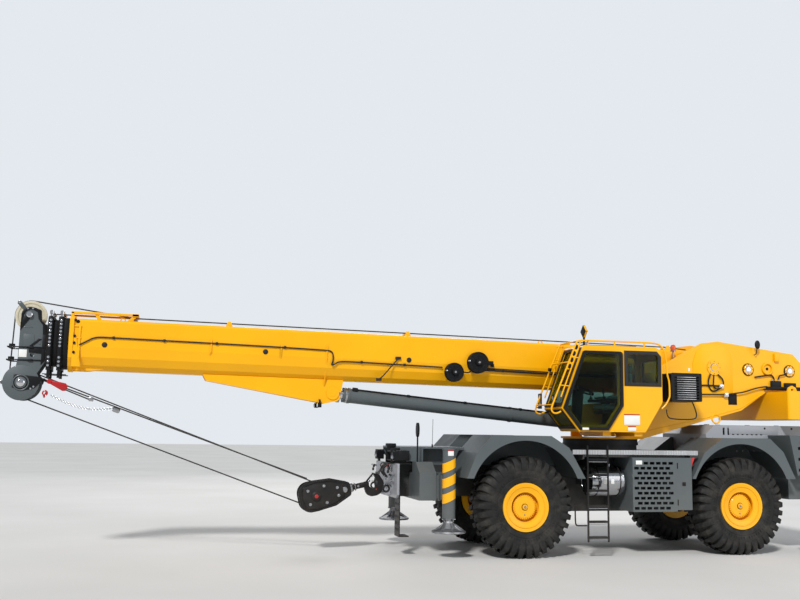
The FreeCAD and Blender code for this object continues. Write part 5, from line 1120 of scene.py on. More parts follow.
class CRANE_OT_head(bpy.types.Operator):
    """Boom head trim: black bands, a painted shadow and painted shade over the lower cut-outs, sheave guards,
    pin caps, label, wedge socket and rope guides
    """

    bl_idname = "crane.head"
    bl_label = "Boom head"

    def execute(self, context):
        near = 0.235
        black, bright, slate = [], [], []
        edge = [(-12.86, 0.10), (-12.858, 0.36), (-12.82, 0.435), (-12.76, 0.482), (-12.70, 0.486),
                (-12.62, 0.468), (-12.54, 0.425), (-12.515, 0.25), (-12.425, 0.175), (-12.425, 0.02)]
        inside = [(-12.49, 0.02), (-12.50, 0.18), (-12.575, 0.28), (-12.60, 0.40), (-12.66, 0.435),
                  (-12.72, 0.446), (-12.78, 0.415), (-12.82, 0.35), (-12.835, 0.25), (-12.835, 0.12)]
        cut_out_shade = [(-12.90, -0.665), (-12.45, -0.70), (-12.475, -0.80), (-12.56, -0.89), (-12.73, -0.935),
                   (-12.92, -0.89)]
        for side in (-1, 1):
            y0 = side * near
            black.append(plate(edge + inside, y0, side * (near + 0.014), BOOM, 0.002))
            # The first band, from under the top pin down to the front edge, is a painted shadow; the other
            # three are black bands.
            for band in ([(-12.862, 0.075), (-12.862, 0.22), (-12.78, 0.37), (-12.70, 0.35), (-12.72, 0.28)],
                         [(-12.736, -0.223), (-12.69, -0.223), (-12.50, -0.06), (-12.55, -0.045)],
                         [(-12.69, -0.292), (-12.70, -0.231), (-12.49, -0.205), (-12.49, -0.305)],
                         [(-12.49, 0.03), (-12.425, 0.03), (-12.425, -0.425), (-12.49, -0.49)]):
                black.append(plate(band, y0, side * (near + 0.012), BOOM, 0.002))
            slate.append(turned([(0.296, 0), (0.296, 0.010), (0.288, 0.014)],
                                (-12.784, side * 0.224, -0.804), (0, side, 0), BOOM, 64))
            # Black plate round the lower sheave, over the cut-out in the head plate: painted shade in the
            # opening.
            black.append(plate(cut_out_shade, side * 0.237, side * 0.246, BOOM, 0.002))
            slate.append(ring((-12.784, side * 0.247, -0.804), (0, 1, 0), 0.125, 0.012, BOOM, 48))
            slate.append(turned([(0.095, 0), (0.095, 0.022), (0.085, 0.028)],
                                (-12.784, side * 0.244, -0.804), (0, side, 0), BOOM, 40))
            for a, b, c, d in ((-12.80, -12.62, -0.20, 0.02), (-12.79, -12.66, 0.13, 0.145),
                               (-12.55, -12.51, -0.15, -0.04)):
                slate.append(block((a, side * near, c), (b, side * (near + 0.006), d), BOOM, 0.002))
            for s, h, r in ((12.784, -0.804, 0.055), (12.725, 0.352, 0.042)):
                bright.append(turned([(r * 1.2, 0), (r * 1.2, 0.03), (r, 0.036), (r, 0.044),
                                      (r * 0.8, 0.050)],
                                     (-s, side * (near + 0.010), h), (0, side, 0), BOOM, 40))
            bright += bolts([(-12.76, side * (near + 0.013), 0.455), (-12.68, side * (near + 0.013), 0.46),
                             (-12.575, side * (near + 0.013), -0.865),
                             (-12.62, side * (near + 0.013), -0.90)],
                            (0, side, 0), 0.012, BOOM)
        # Rope guide arms in front of the plates, each with its roller
        for h in (-0.205, -0.424):
            for side in (-1, 1):
                black.append(bar((-12.46, side * 0.245, h + 0.004), (-13.04, side * 0.245, h), 0.011, BOOM,
                                 16, 0.002))
                black.append(block((-12.70, side * 0.236, h - 0.020), (-12.62, side * 0.262, h + 0.020),
                                   BOOM, 0.004))
            black.append(bar((-13.035, -0.245, h), (-13.035, 0.245, h), 0.014, BOOM, 16, 0.002))
            black.append(block((-13.045, -0.05, h), (-12.955, -0.02, h + 0.065), BOOM, 0.004))
            black.append(block((-13.045, 0.02, h), (-12.955, 0.05, h + 0.065), BOOM, 0.004))
        # Rope keeper over the top sheave, and the stop at the lower guard's nose
        for y in (-0.055, 0.035):
            slate.append(plate([(-12.79, 0.470), (-12.83, 0.435), (-12.960, 0.550), (-12.955, 0.600),
                                (-12.905, 0.600)], y,
                               y + 0.020, BOOM, 0.003))
        bright.append(bar((-12.928, -0.06, 0.575), (-12.928, 0.06, 0.575), 0.020, BOOM, 20, 0.003))
        slate.append(plate([(-13.05, -0.76), (-13.10, -0.755), (-13.145, -0.80), (-13.10, -0.845),
                            (-13.05, -0.84)], -0.03, 0.03,
                           BOOM, 0.004))
        bright.append(ring((-13.12, 0, -0.80), (0, 1, 0), 0.026, 0.008, BOOM, 28))
        piece("head_bands", black, "boom_head", "black enamel")
        piece("head_pins", bright, "boom_head", "hard chrome")
        piece("head_plates", slate, "boom_head", "slate enamel")
        label = block((-12.853, -0.242, -0.375), (-12.725, -0.236, -0.245), BOOM, 0.001)
        piece("head_label", [label], "boom_head", "white decal")

        socket = [plate([(-0.155, 0.030), (0.105, 0.070), (0.155, 0.048), (0.155, -0.048), (0.105, -0.070),
                         (-0.155, -0.030)],
                        -0.038, 0.038, None, 0.012)]
        ear = turned([(0.040, 0), (0.040, 0.09), (0.032, 0.096)], (-0.155, -0.048, 0), (0, 1, 0), None, 28)
        socket.append(ear)
        free_hands()
        fall = Vector((BLOCK_CENTRE.x - HEAD_PIN.x, 0, BLOCK_CENTRE.z - HEAD_PIN.z)).normalized()
        place = Matrix.Translation(on_slew(-10.03, -0.150, 2.862)) @ Matrix.Rotation(math.asin(-fall.z), 4,
                                                                                     "Y")
        made = []
        for obj in socket:
            free_hands()
            obj.select_set(True)
            bpy.context.view_layer.objects.active = obj
            made.append(settle(place))
        made += [ring(on_slew(-10.235, -0.16, 2.720), (0, 1, 0), 0.038, 0.012, None, 28),
                 bar(on_slew(-10.25, -0.20, 2.672), on_slew(-10.25, -0.12, 2.672), 0.014, None, 16, 0.003),
                 bar(on_slew(-10.21, -0.16, 2.755), on_slew(-10.25, -0.16, 2.640), 0.013, None, 16, 0.003)]
        piece("wedge_socket", made, "boom_head", "red enamel")
        lug = [bar(on_slew(-10.36, -0.150, 2.975), on_slew(-10.17, -0.150, 2.905), 0.022, None, 20, 0.004),
               block((-10.40, -0.19, 2.93), (-10.33, -0.11, 3.03), SLEW, 0.008)]
        piece("socket_link", lug, "boom_head", "black enamel")
        return {"FINISHED"}


class CRANE_OT_tackle(bpy.types.Operator):
    """Hook block trim, the dead end's rope, clamp and chain, and the sling that lashes the hook"""

    bl_idname = "crane.tackle"
    bl_label = "Hook block and sling"

    def chain(self, start, end, count):
        """Chain of round links between two points, hanging a little."""
        links = []
        for i in range(count):
            t = (i + 0.5) / count
            spot = Vector(start).lerp(Vector(end), t)
            spot.z -= 0.10 * math.sin(math.pi * t)
            axis = (0, 1, 0) if i % 2 else (0.25, 0, 1)
            links.append(ring(spot, axis, 0.017, 0.0045, None, 14))
        return links

    def execute(self, context):
        r = context.scene.crane_rope.radius
        black, bright, red = [], [], []
        for side in (-1, 1):
            face = side * BLOCK_CHEEK_Y
            outline = [(-0.20, -0.19), (0.00, -0.225), (0.30, -0.19), (0.50, -0.10), (0.50, 0.10),
                       (0.30, 0.19), (0.00, 0.225), (-0.20, 0.19), (-0.245, 0.0)]
            black.append(plate(outline, face, side * 0.158, BLOCK, 0.006))
            rim = [(-0.275, -0.14), (-0.14, -0.235), (0.06, -0.262), (0.34, -0.225), (0.62, -0.105),
                   (0.62, 0.105), (0.34, 0.225), (0.06, 0.262), (-0.14, 0.235), (-0.275, 0.14)]
            black.append(frame_plate(rim, inner_outline(rim, 0.022), face, side * 0.140, BLOCK, 0.003))
            bright += bolts([(u, side * 0.158, v) for u,
                             v in ((-0.13, 0.12), (-0.13, -0.12), (0.17, 0.15), (0.17, -0.15),
                                                              (0.40, 0.07),
                                                              (0.40, -0.07))], (0, side, 0), 0.020, BLOCK)
            black.append(turned([(0.085, 0), (0.085, 0.018), (0.070, 0.024), (0.070, 0.034), (0.060, 0.040)],
                                (0, side * 0.156, 0), (0, side, 0), BLOCK, 36))
            red.append(turned([(0.034, 0), (0.034, 0.010), (0.026, 0.014)], (0, side * 0.192, 0),
                              (0, side, 0), BLOCK, 24))
            bright.append(turned([(0.050, 0), (0.050, 0.016), (0.040, 0.024)], (0.535, side * 0.130, 0),
                                 (0, side, 0), BLOCK, 28))
        black.append(block((-0.29, -0.125, -0.06), (-0.262, 0.125, 0.06), BLOCK, 0.006))
        piece("block_cheeks", black, "hook_block", "black enamel")
        piece("block_bolts", bright, "hook_block", "machined steel")
        piece("block_marks", red, "hook_block", "red enamel")
        collar = [turned([(0.088, 0), (0.088, 0.030), (0.080, 0.036), (0.066, 0.036)], (0.652, 0, 0),
                         (1, 0, 0), BLOCK, 40),
                  ring((0.745, 0, 0), (1, 0, 0), 0.062, 0.012, BLOCK, 36),
                  bolt((0.80, -0.048, 0), (0, -1, 0), 0.014, BLOCK),
                  turned([(0.020, 0), (0.020, 0.03), (0.014, 0.034)], (1.02, -0.012, 0.045), (0, -1, 0),
                         BLOCK, 20)]
        piece("hook_nut", collar, "hook", "machined steel")

        # Dead end: rope from the wedge socket to the block, a clamp and the switch weight's chain
        dead = [bar(on_slew(-9.93, -0.150, 2.818), on_slew(-5.72, -0.135, 1.295), r, None, 14),
                bar(on_slew(-9.93, -0.160, 2.790), on_slew(-9.45, -0.155, 2.600), r, None, 14)]
        piece("dead_end_rope", dead, "hook_block", "greased rope")
        clamps = [block((-9.52, -0.180, 2.595), (-9.44, -0.125, 2.665), SLEW, 0.01),
                  bolt(on_slew(-9.48, -0.155, 2.665), (0, 0, 1), 0.010)]
        weight = turned([(0.030, 0), (0.045, 0.02), (0.045, 0.11), (0.030, 0.13)],
                        on_slew(-9.120, -0.12, 2.475), (1, 0, -0.35), None, 28)
        piece("switch_weight", clamps + [weight], "hook_block", "machined steel")
        piece("switch_chain", self.chain(on_slew(-10.144, -0.15, 2.690), on_slew(-9.12, -0.13, 2.478), 38),
              "hook_block", "machined steel")

        # The sling from the hook's bowl to the carrier's nose, with a red shackle at each end
        bowl = BLOCK @ Vector((1.12, 0, -0.20))
        anchor = on_slew(-4.30, 0.0, 1.535)
        middle = (bowl + anchor) / 2
        sling = [pipe([bowl + Vector((-0.01, y * 0.5, 0.0)), middle + Vector((-0.10, y, 0.0)),
                       anchor + Vector((0, y * 0.5, 0))],
                      0.013) for y in (-0.03, 0.03)]
        sling.append(ring(anchor, (0, 1, 0), 0.045, 0.013, None, 28))
        piece("lashing_sling", sling, "root", "greased rope")
        shackles = []
        for spot in (anchor + Vector((0.05, 0, 0.01)), bowl + Vector((-0.02, 0, 0.03))):
            shackles.append(ring(spot, (0.2, 1, 0), 0.040, 0.012, None, 28))
            shackles.append(bar(spot + Vector((0.0, -0.05, 0.040)), spot + Vector((0.0, 0.05, 0.040)),
                                0.012, None, 16, 0.003))
        piece("shackles", shackles, "root", "red enamel")
        return {"FINISHED"}


class CRANE_OT_cab(bpy.types.Operator):
    """Cab trim: glazing frames, guard rails, mirrors, wiper, beacon and blank labels"""

    bl_idname = "crane.cab"
    bl_label = "Cab trim"

    def frames(self, face):
        """Rubber frames round the windows."""
        made = []
        side = [(-0.155, 3.02), (0.585, 3.02), (0.585, 3.57), (0.50, 3.665), (-0.155, 3.665)]
        hole = [(-0.085, 3.085), (0.515, 3.085), (0.515, 3.56), (0.48, 3.60), (-0.085, 3.60)]
        made.append(frame_plate(side, hole, face - 0.0035, face - 0.0005, SLEW, 0.001))
        slope = math.atan2(0.42, 1.14)
        screen = SLEW @ Matrix.Translation((-1.37, 0, 2.60)) @ Matrix.Rotation(slope, 4, "Y")
        outer = [(-1.375, 0.045), (-0.590, 0.045), (-0.590, 1.165), (-1.375, 1.165)]
        inner = [(-1.315, 0.105), (-0.650, 0.105), (-0.650, 1.110), (-1.315, 1.110)]
        made.append(frame_plate(outer, inner, -0.014, -0.001, screen, 0.003, "X"))
        made.append(block((-0.026, -1.375, 0.03), (-0.002, -0.590, 0.06), screen, 0.004))
        foot = SLEW @ Matrix.Translation((-1.04, 0, 2.19)) @ Matrix.Rotation(-math.atan2(0.33, 0.41), 4, "Y")
        outer = [(-1.370, 0.07), (-0.595, 0.07), (-0.595, 0.50), (-1.370, 0.50)]
        inner = [(-1.310, 0.125), (-0.655, 0.125), (-0.655, 0.455), (-1.310, 0.455)]
        made.append(frame_plate(outer, inner, -0.012, -0.001, foot, 0.003, "X"))
        back = [(-1.32, 2.80), (-0.645, 2.80), (-0.645, 3.57), (-1.32, 3.57)]
        hole = [(-1.26, 2.865), (-0.705, 2.865), (-0.705, 3.505), (-1.26, 3.505)]
        made.append(frame_plate(back, hole, 0.601, 0.612, SLEW, 0.003, "X"))
        # Wiper: a pivot, an arm and its blade
        made.append(turned([(0.028, 0), (0.028, 0.03), (0.020, 0.036)], (-0.012, -0.98, 0.10), (-1, 0, 0),
                           screen, 24))
        made.append(bar((-0.040, -0.98, 0.10), (-0.030, -1.18, 0.62), 0.008, screen, 12))
        made.append(block((-0.030, -1.24, 0.36), (-0.016, -1.215, 0.92), screen, 0.004))
        piece("cab_seals", made, "superstructure", "moulded trim")

    def rails(self, r):
        """Guard rails ahead of the windscreen and along the roof."""
        made = []
        path = [(-0.86, 3.825), (-1.00, 3.825), (-1.06, 3.80), (-1.10, 3.70), (-1.30, 3.22), (-1.52, 2.69),
                (-1.56, 2.58), (-1.53, 2.515), (-1.44, 2.50), (-1.375, 2.545)]
        for y in (-1.372, -0.590):
            made.append(pipe([(x, y, z) for x, z in path], r, SLEW))
            for x, z, back in ((-1.175, 3.52, -1.035), (-1.385, 3.01, -1.225)):
                made.append(bar(on_slew(x, y, z), on_slew(back, y, z - 0.012), r * 0.7, None, 14))
            inner = [(-1.02, 3.80), (-1.045, 3.70), (-1.245, 3.20), (-1.40, 2.80)]
            made.append(pipe([(x + 0.03, y, z) for x, z in inner], r * 0.8, SLEW))
        for x, z in ((-1.045, 3.812), (-1.21, 3.43), (-1.53, 2.66)):
            made.append(bar(on_slew(x, -1.372, z), on_slew(x, -0.590, z), r * 0.8, None, 14))
        made.append(plate([(-1.090, 3.76), (-1.00, 3.76), (-1.175, 3.30), (-1.275, 3.29)], -1.376, -1.368,
                          SLEW, 0.002))
        tail = [(0.28, -1.335, 3.830), (0.46, -1.345, 3.826), (0.58, -1.375, 3.80), (0.66, -1.405, 3.70),
                (0.685, -1.412, 3.52),
                (0.700, -1.412, 3.26), (0.712, -1.412, 3.20), (0.740, -1.412, 3.12), (0.744, -1.412, 2.88),
                (0.735, -1.412, 2.82), (0.66, -1.405, 2.68), (0.585, -1.395, 2.62)]
        made.append(pipe(tail, r, SLEW))
        made.append(bar(on_slew(-0.86, -1.372, 3.825), on_slew(-0.82, -1.335, 3.830), r, None, 16))
        made.append(pipe([(-1.06, -0.66, 3.44), (-1.20, -0.66, 3.44), (-1.27, -0.68, 3.42),
                          (-1.30, -0.69, 3.34)], r * 0.7, SLEW))
        piece("guard_rails", made, "superstructure", "yellow enamel")
        # The slots in the guard plate are thin black ovals on both its faces: painted shade in the openings.
        slots = []
        for share in (0.13, 0.38, 0.63, 0.88):
            x, z = -1.043 - 0.178 * share, 3.76 - 0.465 * share
            for side in (-1, 1):
                hole = (Matrix.Translation(on_slew(x, -1.372 + side * 0.004, z))
                        @ Matrix.Rotation(math.radians(20), 4, "Y"))
                slots.append(turned([(1.0, 0), (0.9, 0.003)], (0, 0, 0), (0, side, 0),
                                    hole @ Matrix.Diagonal((0.030, 1, 0.048, 1)), 20))
        piece("guard_slots", slots, "superstructure", "black enamel")

    def mirrors(self, face):
        """Mirrors with their glass, lamps, step bar and beacon."""
        black, glass, bright = [], [], []
        middle = (-1.335, 3.990)
        for reach, near, far, group in ((0.1165, -0.921, -0.879, black), (0.098, -0.878, -0.8765, glass)):
            corners = [(middle[0] - reach, middle[1]), (middle[0], middle[1] + reach),
                       (middle[0] + reach, middle[1]), (middle[0], middle[1] - reach)]
            group.append(plate(corners, near, far, SLEW, 0.001, "X"))
        black.append(bar(on_slew(-0.90, -1.335, 3.742), on_slew(-0.90, -1.335, 3.89), 0.019, None, 16))
        black.append(block((-0.94, -1.375, 3.742), (-0.86, -1.295, 3.756), SLEW, 0.003))
        frame_low = [(-0.66, 2.60), (-0.52, 2.60), (-0.52, 2.88), (-0.66, 2.88)]
        black.append(frame_plate(frame_low, inner_outline(frame_low, 0.018), -1.475, -1.450, SLEW, 0.004,
                                 "X"))
        black.append(bar(on_slew(-1.545, -0.590, 2.62), on_slew(-1.460, -0.590, 2.62), 0.010, None, 12))
        glass.append(block((-1.469, -0.645, 2.615), (-1.459, -0.535, 2.865), SLEW, 0.002))
        for z in (2.66, 2.78):
            black.append(turned([(0.045, 0), (0.045, 0.05), (0.035, 0.07)], on_slew(-1.48, -1.25, z),
                                (1, 0, 0), None, 24))
            glass.append(turned([(0.038, 0), (0.034, 0.006)], on_slew(-1.481, -1.25, z), (-1, 0, 0), None,
                                24))
            black.append(bar(on_slew(-1.45, -1.25, z), on_slew(-1.45, -1.372, z), 0.008, None, 12))
        black.append(turned([(0.035, 0), (0.035, 0.05), (0.02, 0.06)], on_slew(-1.30, -0.69, 3.35),
                            (-0.2, 0, -1), None, 24))
        black.append(block((-0.262, face - 0.050, 2.86), (-0.222, face - 0.030, 3.00), SLEW, 0.006))
        black.append(block((-0.84, -1.20, 3.741), (0.20, -0.80, 3.768), SLEW, 0.006))
        piece("cab_mirror_frames", black, "superstructure", "black enamel")
        piece("cab_mirror_glass", glass, "superstructure", "polished stainless")
        bright.append(pipe([(-1.01, -1.36, 2.185), (-1.02, -1.45, 2.13), (-1.00, -1.485, 2.105),
                            (-0.90, -1.49, 2.10),
                            (-0.48, -1.49, 2.10), (-0.38, -1.485, 2.105), (-0.36, -1.45, 2.13),
                            (-0.37, -1.36, 2.185)],
                           0.013, SLEW))
        bright.append(bar(on_slew(1.32, -0.52, 3.60), on_slew(1.32, -0.52, 3.755), 0.018, None, 20, 0.003))
        bright.append(turned([(0.060, 0), (0.060, 0.02), (0.048, 0.026)], on_slew(1.32, -0.52, 3.752),
                             (0, 0, 1), None, 32))
        piece("cab_bright_parts", bright, "superstructure", "polished stainless")
        lens = turned([(0.046, 0), (0.050, 0.02), (0.050, 0.07), (0.042, 0.10), (0.022, 0.114)],
                      on_slew(1.32, -0.52, 3.775), (0, 0, 1), None, 40)
        piece("beacon", [lens], "superstructure", "amber lens")

    def labels(self, face):
        """Blank white labels: two with a red band on the cab, and a plain one on the door."""
        white, red = [], []
        for x0, x1, z0, z1 in ((-0.172, 0.139, 2.322, 2.515), (-0.097, 0.060, 2.215, 2.301)):
            white.append(block((x0, face - 0.0025, z0), (x1, face, z1 - 0.022), SLEW, 0.0005))
            red.append(block((x0, face - 0.0025, z1 - 0.022), (x1, face, z1), SLEW, 0.0005))
        sill = block((-1.00, face - 0.0435, 2.221), (-0.876, face - 0.041, 2.262), SLEW, 0.0005)
        piece("door_label", [sill], "cab_door", "white decal")
        piece("cab_labels", white, "superstructure", "white decal")
        piece("cab_label_bands", red, "superstructure", "red enamel")

    def execute(self, context):
        face = CAB_FACE_Y
        self.frames(face)
        self.rails(context.scene.crane_trim.rail)
        self.mirrors(face)
        self.labels(face)
        return {"FINISHED"}


class CRANE_OT_seat(bpy.types.Operator):
    """Operator's seat with its cushions, pedestal, consoles and steering wheel"""

    bl_idname = "crane.seat"
    bl_label = "Seat and controls"

    def cushion(self, size, crown, place):
        """Stuffed pad: a finely cut block with swollen faces, rims drawn in and two sewn channels."""
        free_hands()
        bpy.ops.mesh.primitive_cube_add(size=1, scale=size)
        obj = settle()
        edit(obj)
        bpy.ops.mesh.subdivide(number_cuts=15)
        bpy.ops.object.mode_set(mode="OBJECT")
        half = [length / 2 for length in size]
        for vertex in obj.data.vertices:
            share = [c / h for c, h in zip(vertex.co, half)]
            inside = [1 - abs(c) ** 2.6 for c in share]
            swell = crown * inside[0] * inside[1]
            channel = sum(math.exp(-((share[1] - line) / 0.045) ** 2) for line in (-0.42, 0.42))
            pull = 0.02 * (abs(share[2]) ** 3)
            x = share[0] * (half[0] - pull * abs(share[0]) - 0.006 * abs(share[1]) ** 4)
            y = share[1] * (half[1] - pull * abs(share[1]) - 0.006 * abs(share[0]) ** 4)
            z = share[2] * (half[2] - crown * 0.9 + swell * 0.9 - 0.008 * channel * inside[0])
            vertex.co = (x, y, z)
        free_hands()
        obj.select_set(True)
        bpy.context.view_layer.objects.active = obj
        bpy.ops.object.modifier_add(type="SUBSURF")
        bpy.ops.object.modifier_apply(modifier=obj.modifiers[-1].name)
        return settle(place)

    def execute(self, context):
        mid, floor = -0.9825, 2.245
        pads = (("seat_cushion", (0.50, 0.46, 0.12), 0.016, (-0.24, mid, floor + 0.395), 0),
                ("seat_back", (0.11, 0.44, 0.56), 0.014, (0.045, mid, floor + 0.745), 9),
                ("seat_headrest", (0.09, 0.26, 0.16), 0.012, (0.125, mid, floor + 1.095), 9),
                ("seat_arm_left", (0.44, 0.075, 0.06), 0.008, (-0.20, mid - 0.285, floor + 0.572), 0),
                ("seat_arm_right", (0.44, 0.075, 0.06), 0.008, (-0.20, mid + 0.285, floor + 0.572), 0))
        for name, size, crown, spot, lean in pads:
            turn = Matrix.Rotation(math.radians(lean), 4, "Y")
            if name in ("seat_back", "seat_headrest"):
                turn = turn @ Matrix.Rotation(math.radians(90), 4, "Y")
                size = (size[2], size[1], size[0])
            obj = self.cushion(size, crown, Matrix.Translation(on_slew(*spot)) @ turn)
            made = piece(name, [obj], "superstructure", "seat cloth", smooth=1.2)
        rigid = [block((-0.40, mid - 0.14, floor), (-0.08, mid + 0.14, floor + 0.10), SLEW, 0.02),
                 block((-0.36, mid - 0.11, floor + 0.09), (-0.12, mid + 0.11, floor + 0.27), SLEW, 0.02),
                 block((-0.48, mid - 0.22, floor + 0.27), (0.01, mid + 0.22, floor + 0.335), SLEW, 0.02),
                 bar(on_slew(0.105, mid - 0.06, floor + 0.98), on_slew(0.115, mid - 0.06, floor + 1.06),
                     0.008, None, 12),
                 bar(on_slew(0.105, mid + 0.06, floor + 0.98), on_slew(0.115, mid + 0.06, floor + 1.06),
                     0.008, None, 12)]
        for side in (-1, 1):
            y = sorted((mid + side * 0.245, mid + side * 0.325))
            rigid.append(block((-0.55, y[0], floor + 0.485), (0.05, y[1], floor + 0.542), SLEW, 0.016))
            rigid.append(block((-0.28, y[0] + 0.005, floor + 0.33), (-0.12, y[1] - 0.005, floor + 0.495),
                               SLEW, 0.012))
            rigid.append(turned([(0.034, 0), (0.030, 0.03), (0.010, 0.05), (0.010, 0.09), (0.020, 0.11),
                                 (0.024, 0.16), (0.016, 0.185)],
                                 on_slew(-0.49, (y[0] + y[1]) / 2, floor + 0.54), (-0.15, 0, 1), None, 24))
        column = [(-1.0, floor), (-0.86, floor), (-0.80, floor + 0.60), (-0.83, floor + 0.66),
                  (-0.95, floor + 0.70)]
        rigid.append(plate(column, mid - 0.09, mid + 0.09, SLEW, 0.016))
        rigid.append(ring(on_slew(-0.77, mid, floor + 0.70), (0.45, 0, 1), 0.190, 0.016, None, 56))
        rigid.append(bar(on_slew(-0.85, mid, floor + 0.59), on_slew(-0.766, mid, floor + 0.712), 0.040,
                         None, 28, 0.006))
        tilt = (Matrix.Translation(on_slew(-0.77, mid, floor + 0.70))
                @ Vector((0.45, 0, 1)).to_track_quat("Z", "Y").to_matrix().to_4x4())
        for angle in (90, 210, 330):
            end = (0.188 * math.cos(math.radians(angle)), 0.188 * math.sin(math.radians(angle)), 0)
            rigid.append(bar((0, 0, 0), end, 0.011, tilt, 14))
        rigid.append(block((-0.99, mid - 0.16, floor + 0.72), (-0.93, mid + 0.16, floor + 0.79), SLEW, 0.012))
        controls = piece("seat_frame_and_controls", rigid, "superstructure", "moulded trim")
        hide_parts("cab_interior")
        return {"FINISHED"}


class CRANE_OT_turntable(bpy.types.Operator):
    """Superstructure trim: pin caps, hoses, rings, tray, valve, mirror, signs and lift cylinder fittings"""

    bl_idname = "crane.turntable"
    bl_label = "Superstructure trim"

    def execute(self, context):
        hose = context.scene.crane_trim.hose
        black, bright, yellow, hoses = [], [], [], []
        for side in (-1, 1):
            face = side * PLATE_FACE_Y
            for x, z, r in ((2.172, 3.466, 0.150), (2.920, 3.447, 0.120), (3.840, 3.438, 0.120)):
                black.append(turned([(r, 0), (r, 0.018), (r * 0.92, 0.024), (r * 0.70, 0.024),
                                     (r * 0.66, 0.018)],
                                    on_slew(x, face, z), (0, side, 0), None, 56))
                bright.append(turned([(r * 0.62, 0), (r * 0.62, 0.026), (r * 0.5, 0.036), (r * 0.28, 0.040)],
                                     on_slew(x, face, z), (0, side, 0), None, 48))
                nut = bolt(on_slew(x, face + side * 0.022, z + r * 0.81), (0, side, 0), 0.009)
                black.append(around(nut, 8, on_slew(x, 0, z), (0, 1, 0)))
            rim = [(1.72, 2.95), (1.72, 3.55), (1.80, 3.78), (1.98, 3.90), (2.30, 3.92), (2.50, 3.82),
                   (2.58, 3.60), (2.58, 2.95)]
            yellow.append(plate(rim, face - side * 0.002, face + side * 0.010, SLEW, 0.002))
            yellow.append(ring(on_slew(3.349, face + side * 0.02, 3.471), (0, 1, 0), 0.105, 0.018, None, 40))
            yellow.append(ring(on_slew(2.195, face, 2.470), (0, 1, 0), 0.085, 0.016, None, 36))
            yellow.append(block((3.50, face, 3.62), (3.60, face + side * 0.05, 3.78), SLEW, 0.008))
            # Black square plate: painted shade where the side plate has a square hole.
            black.append(block((2.471, face, 2.750), (2.659, face + side * 0.006, 2.960), SLEW, 0.002))
            black.append(turned([(0.030, 0), (0.030, 0.004)], on_slew(3.349, face, 3.471), (0, side, 0),
                                None, 28))
            edge = [(0.65, 2.28), (1.98, 2.56), (2.74, 2.76), (3.20, 3.02)]
            for (xa, za), (xb, zb) in zip(edge[:-1], edge[1:]):
                yellow.append(bar(on_slew(xa, face, za - 0.07), on_slew(xb, face, zb - 0.07), 0.010, None,
                                  10))
        louvres = [block((0.925, -1.3660, 2.80 + 0.0405 * i), (1.310, -1.3605, 2.812 + 0.0405 * i), SLEW,
                         0.001)
                   for i in range(11)]
        piece("cooler_louvres", louvres, "superstructure", "machined steel")
        # Hydraulic tray, valve and hoses on the left side
        left = -0.541
        black += [block((3.252, left - 0.075, 3.052), (4.074, left, 3.075), SLEW, 0.004),
                  block((3.252, left - 0.080, 3.052), (4.074, left - 0.072, 3.12), SLEW, 0.003),
                  block((3.40, left - 0.065, 3.075), (3.62, left - 0.006, 3.235), SLEW, 0.010),
                  block((3.70, left - 0.065, 3.075), (3.95, left - 0.006, 3.20), SLEW, 0.010)]
        for x in (3.44, 3.50, 3.56):
            bright.append(bar(on_slew(x, left - 0.036, 3.232), on_slew(x, left - 0.036, 3.270), 0.012, None,
                              16, 0.003))
        for x, z in ((2.404, 2.937), (2.30, 3.10)):
            bright.append(block((x - 0.05, left - 0.060, z - 0.04), (x + 0.05, left, z + 0.04), SLEW, 0.008))
            bright += bolts([on_slew(x - 0.02, left - 0.060, z), on_slew(x + 0.025, left - 0.060, z)],
                            (0, -1, 0), 0.012)
        loops = ([(2.08, 3.33), (2.02, 3.22), (2.05, 3.05), (2.16, 2.98), (2.28, 3.06)],
                 [(2.24, 3.33), (2.34, 3.24), (2.36, 3.14), (2.32, 3.12)],
                 [(2.14, 3.32), (2.12, 3.10), (2.20, 3.03), (2.30, 3.08)],
                 [(1.43, 3.10), (1.70, 3.10), (2.00, 3.12), (2.25, 3.11)],
                 [(1.43, 2.93), (1.80, 2.93), (2.10, 2.94), (2.36, 2.94)],
                 [(2.45, 2.95), (2.80, 3.00), (3.10, 3.10), (3.30, 3.12)],
                 [(3.48, 3.26), (3.46, 3.36), (3.30, 3.34), (3.05, 3.30)],
                 [(3.56, 3.26), (3.58, 3.34), (3.70, 3.36), (3.76, 3.40)])
        for i, loop in enumerate(loops):
            hoses.append(pipe([(x, left - 0.030 - 0.012 * (i % 3), z) for x, z in loop], hose, SLEW))
        hoses.append(pipe([(0.84, -1.10, 2.62), (0.84, -1.10, 2.47), (1.00, -1.10, 2.44),
                           (1.40, -1.10, 2.44), (1.47, -1.10, 2.50),
                           (1.47, -1.0, 2.70), (1.47, -0.80, 2.90), (1.44, -0.56, 2.92)], hose * 0.8, SLEW))
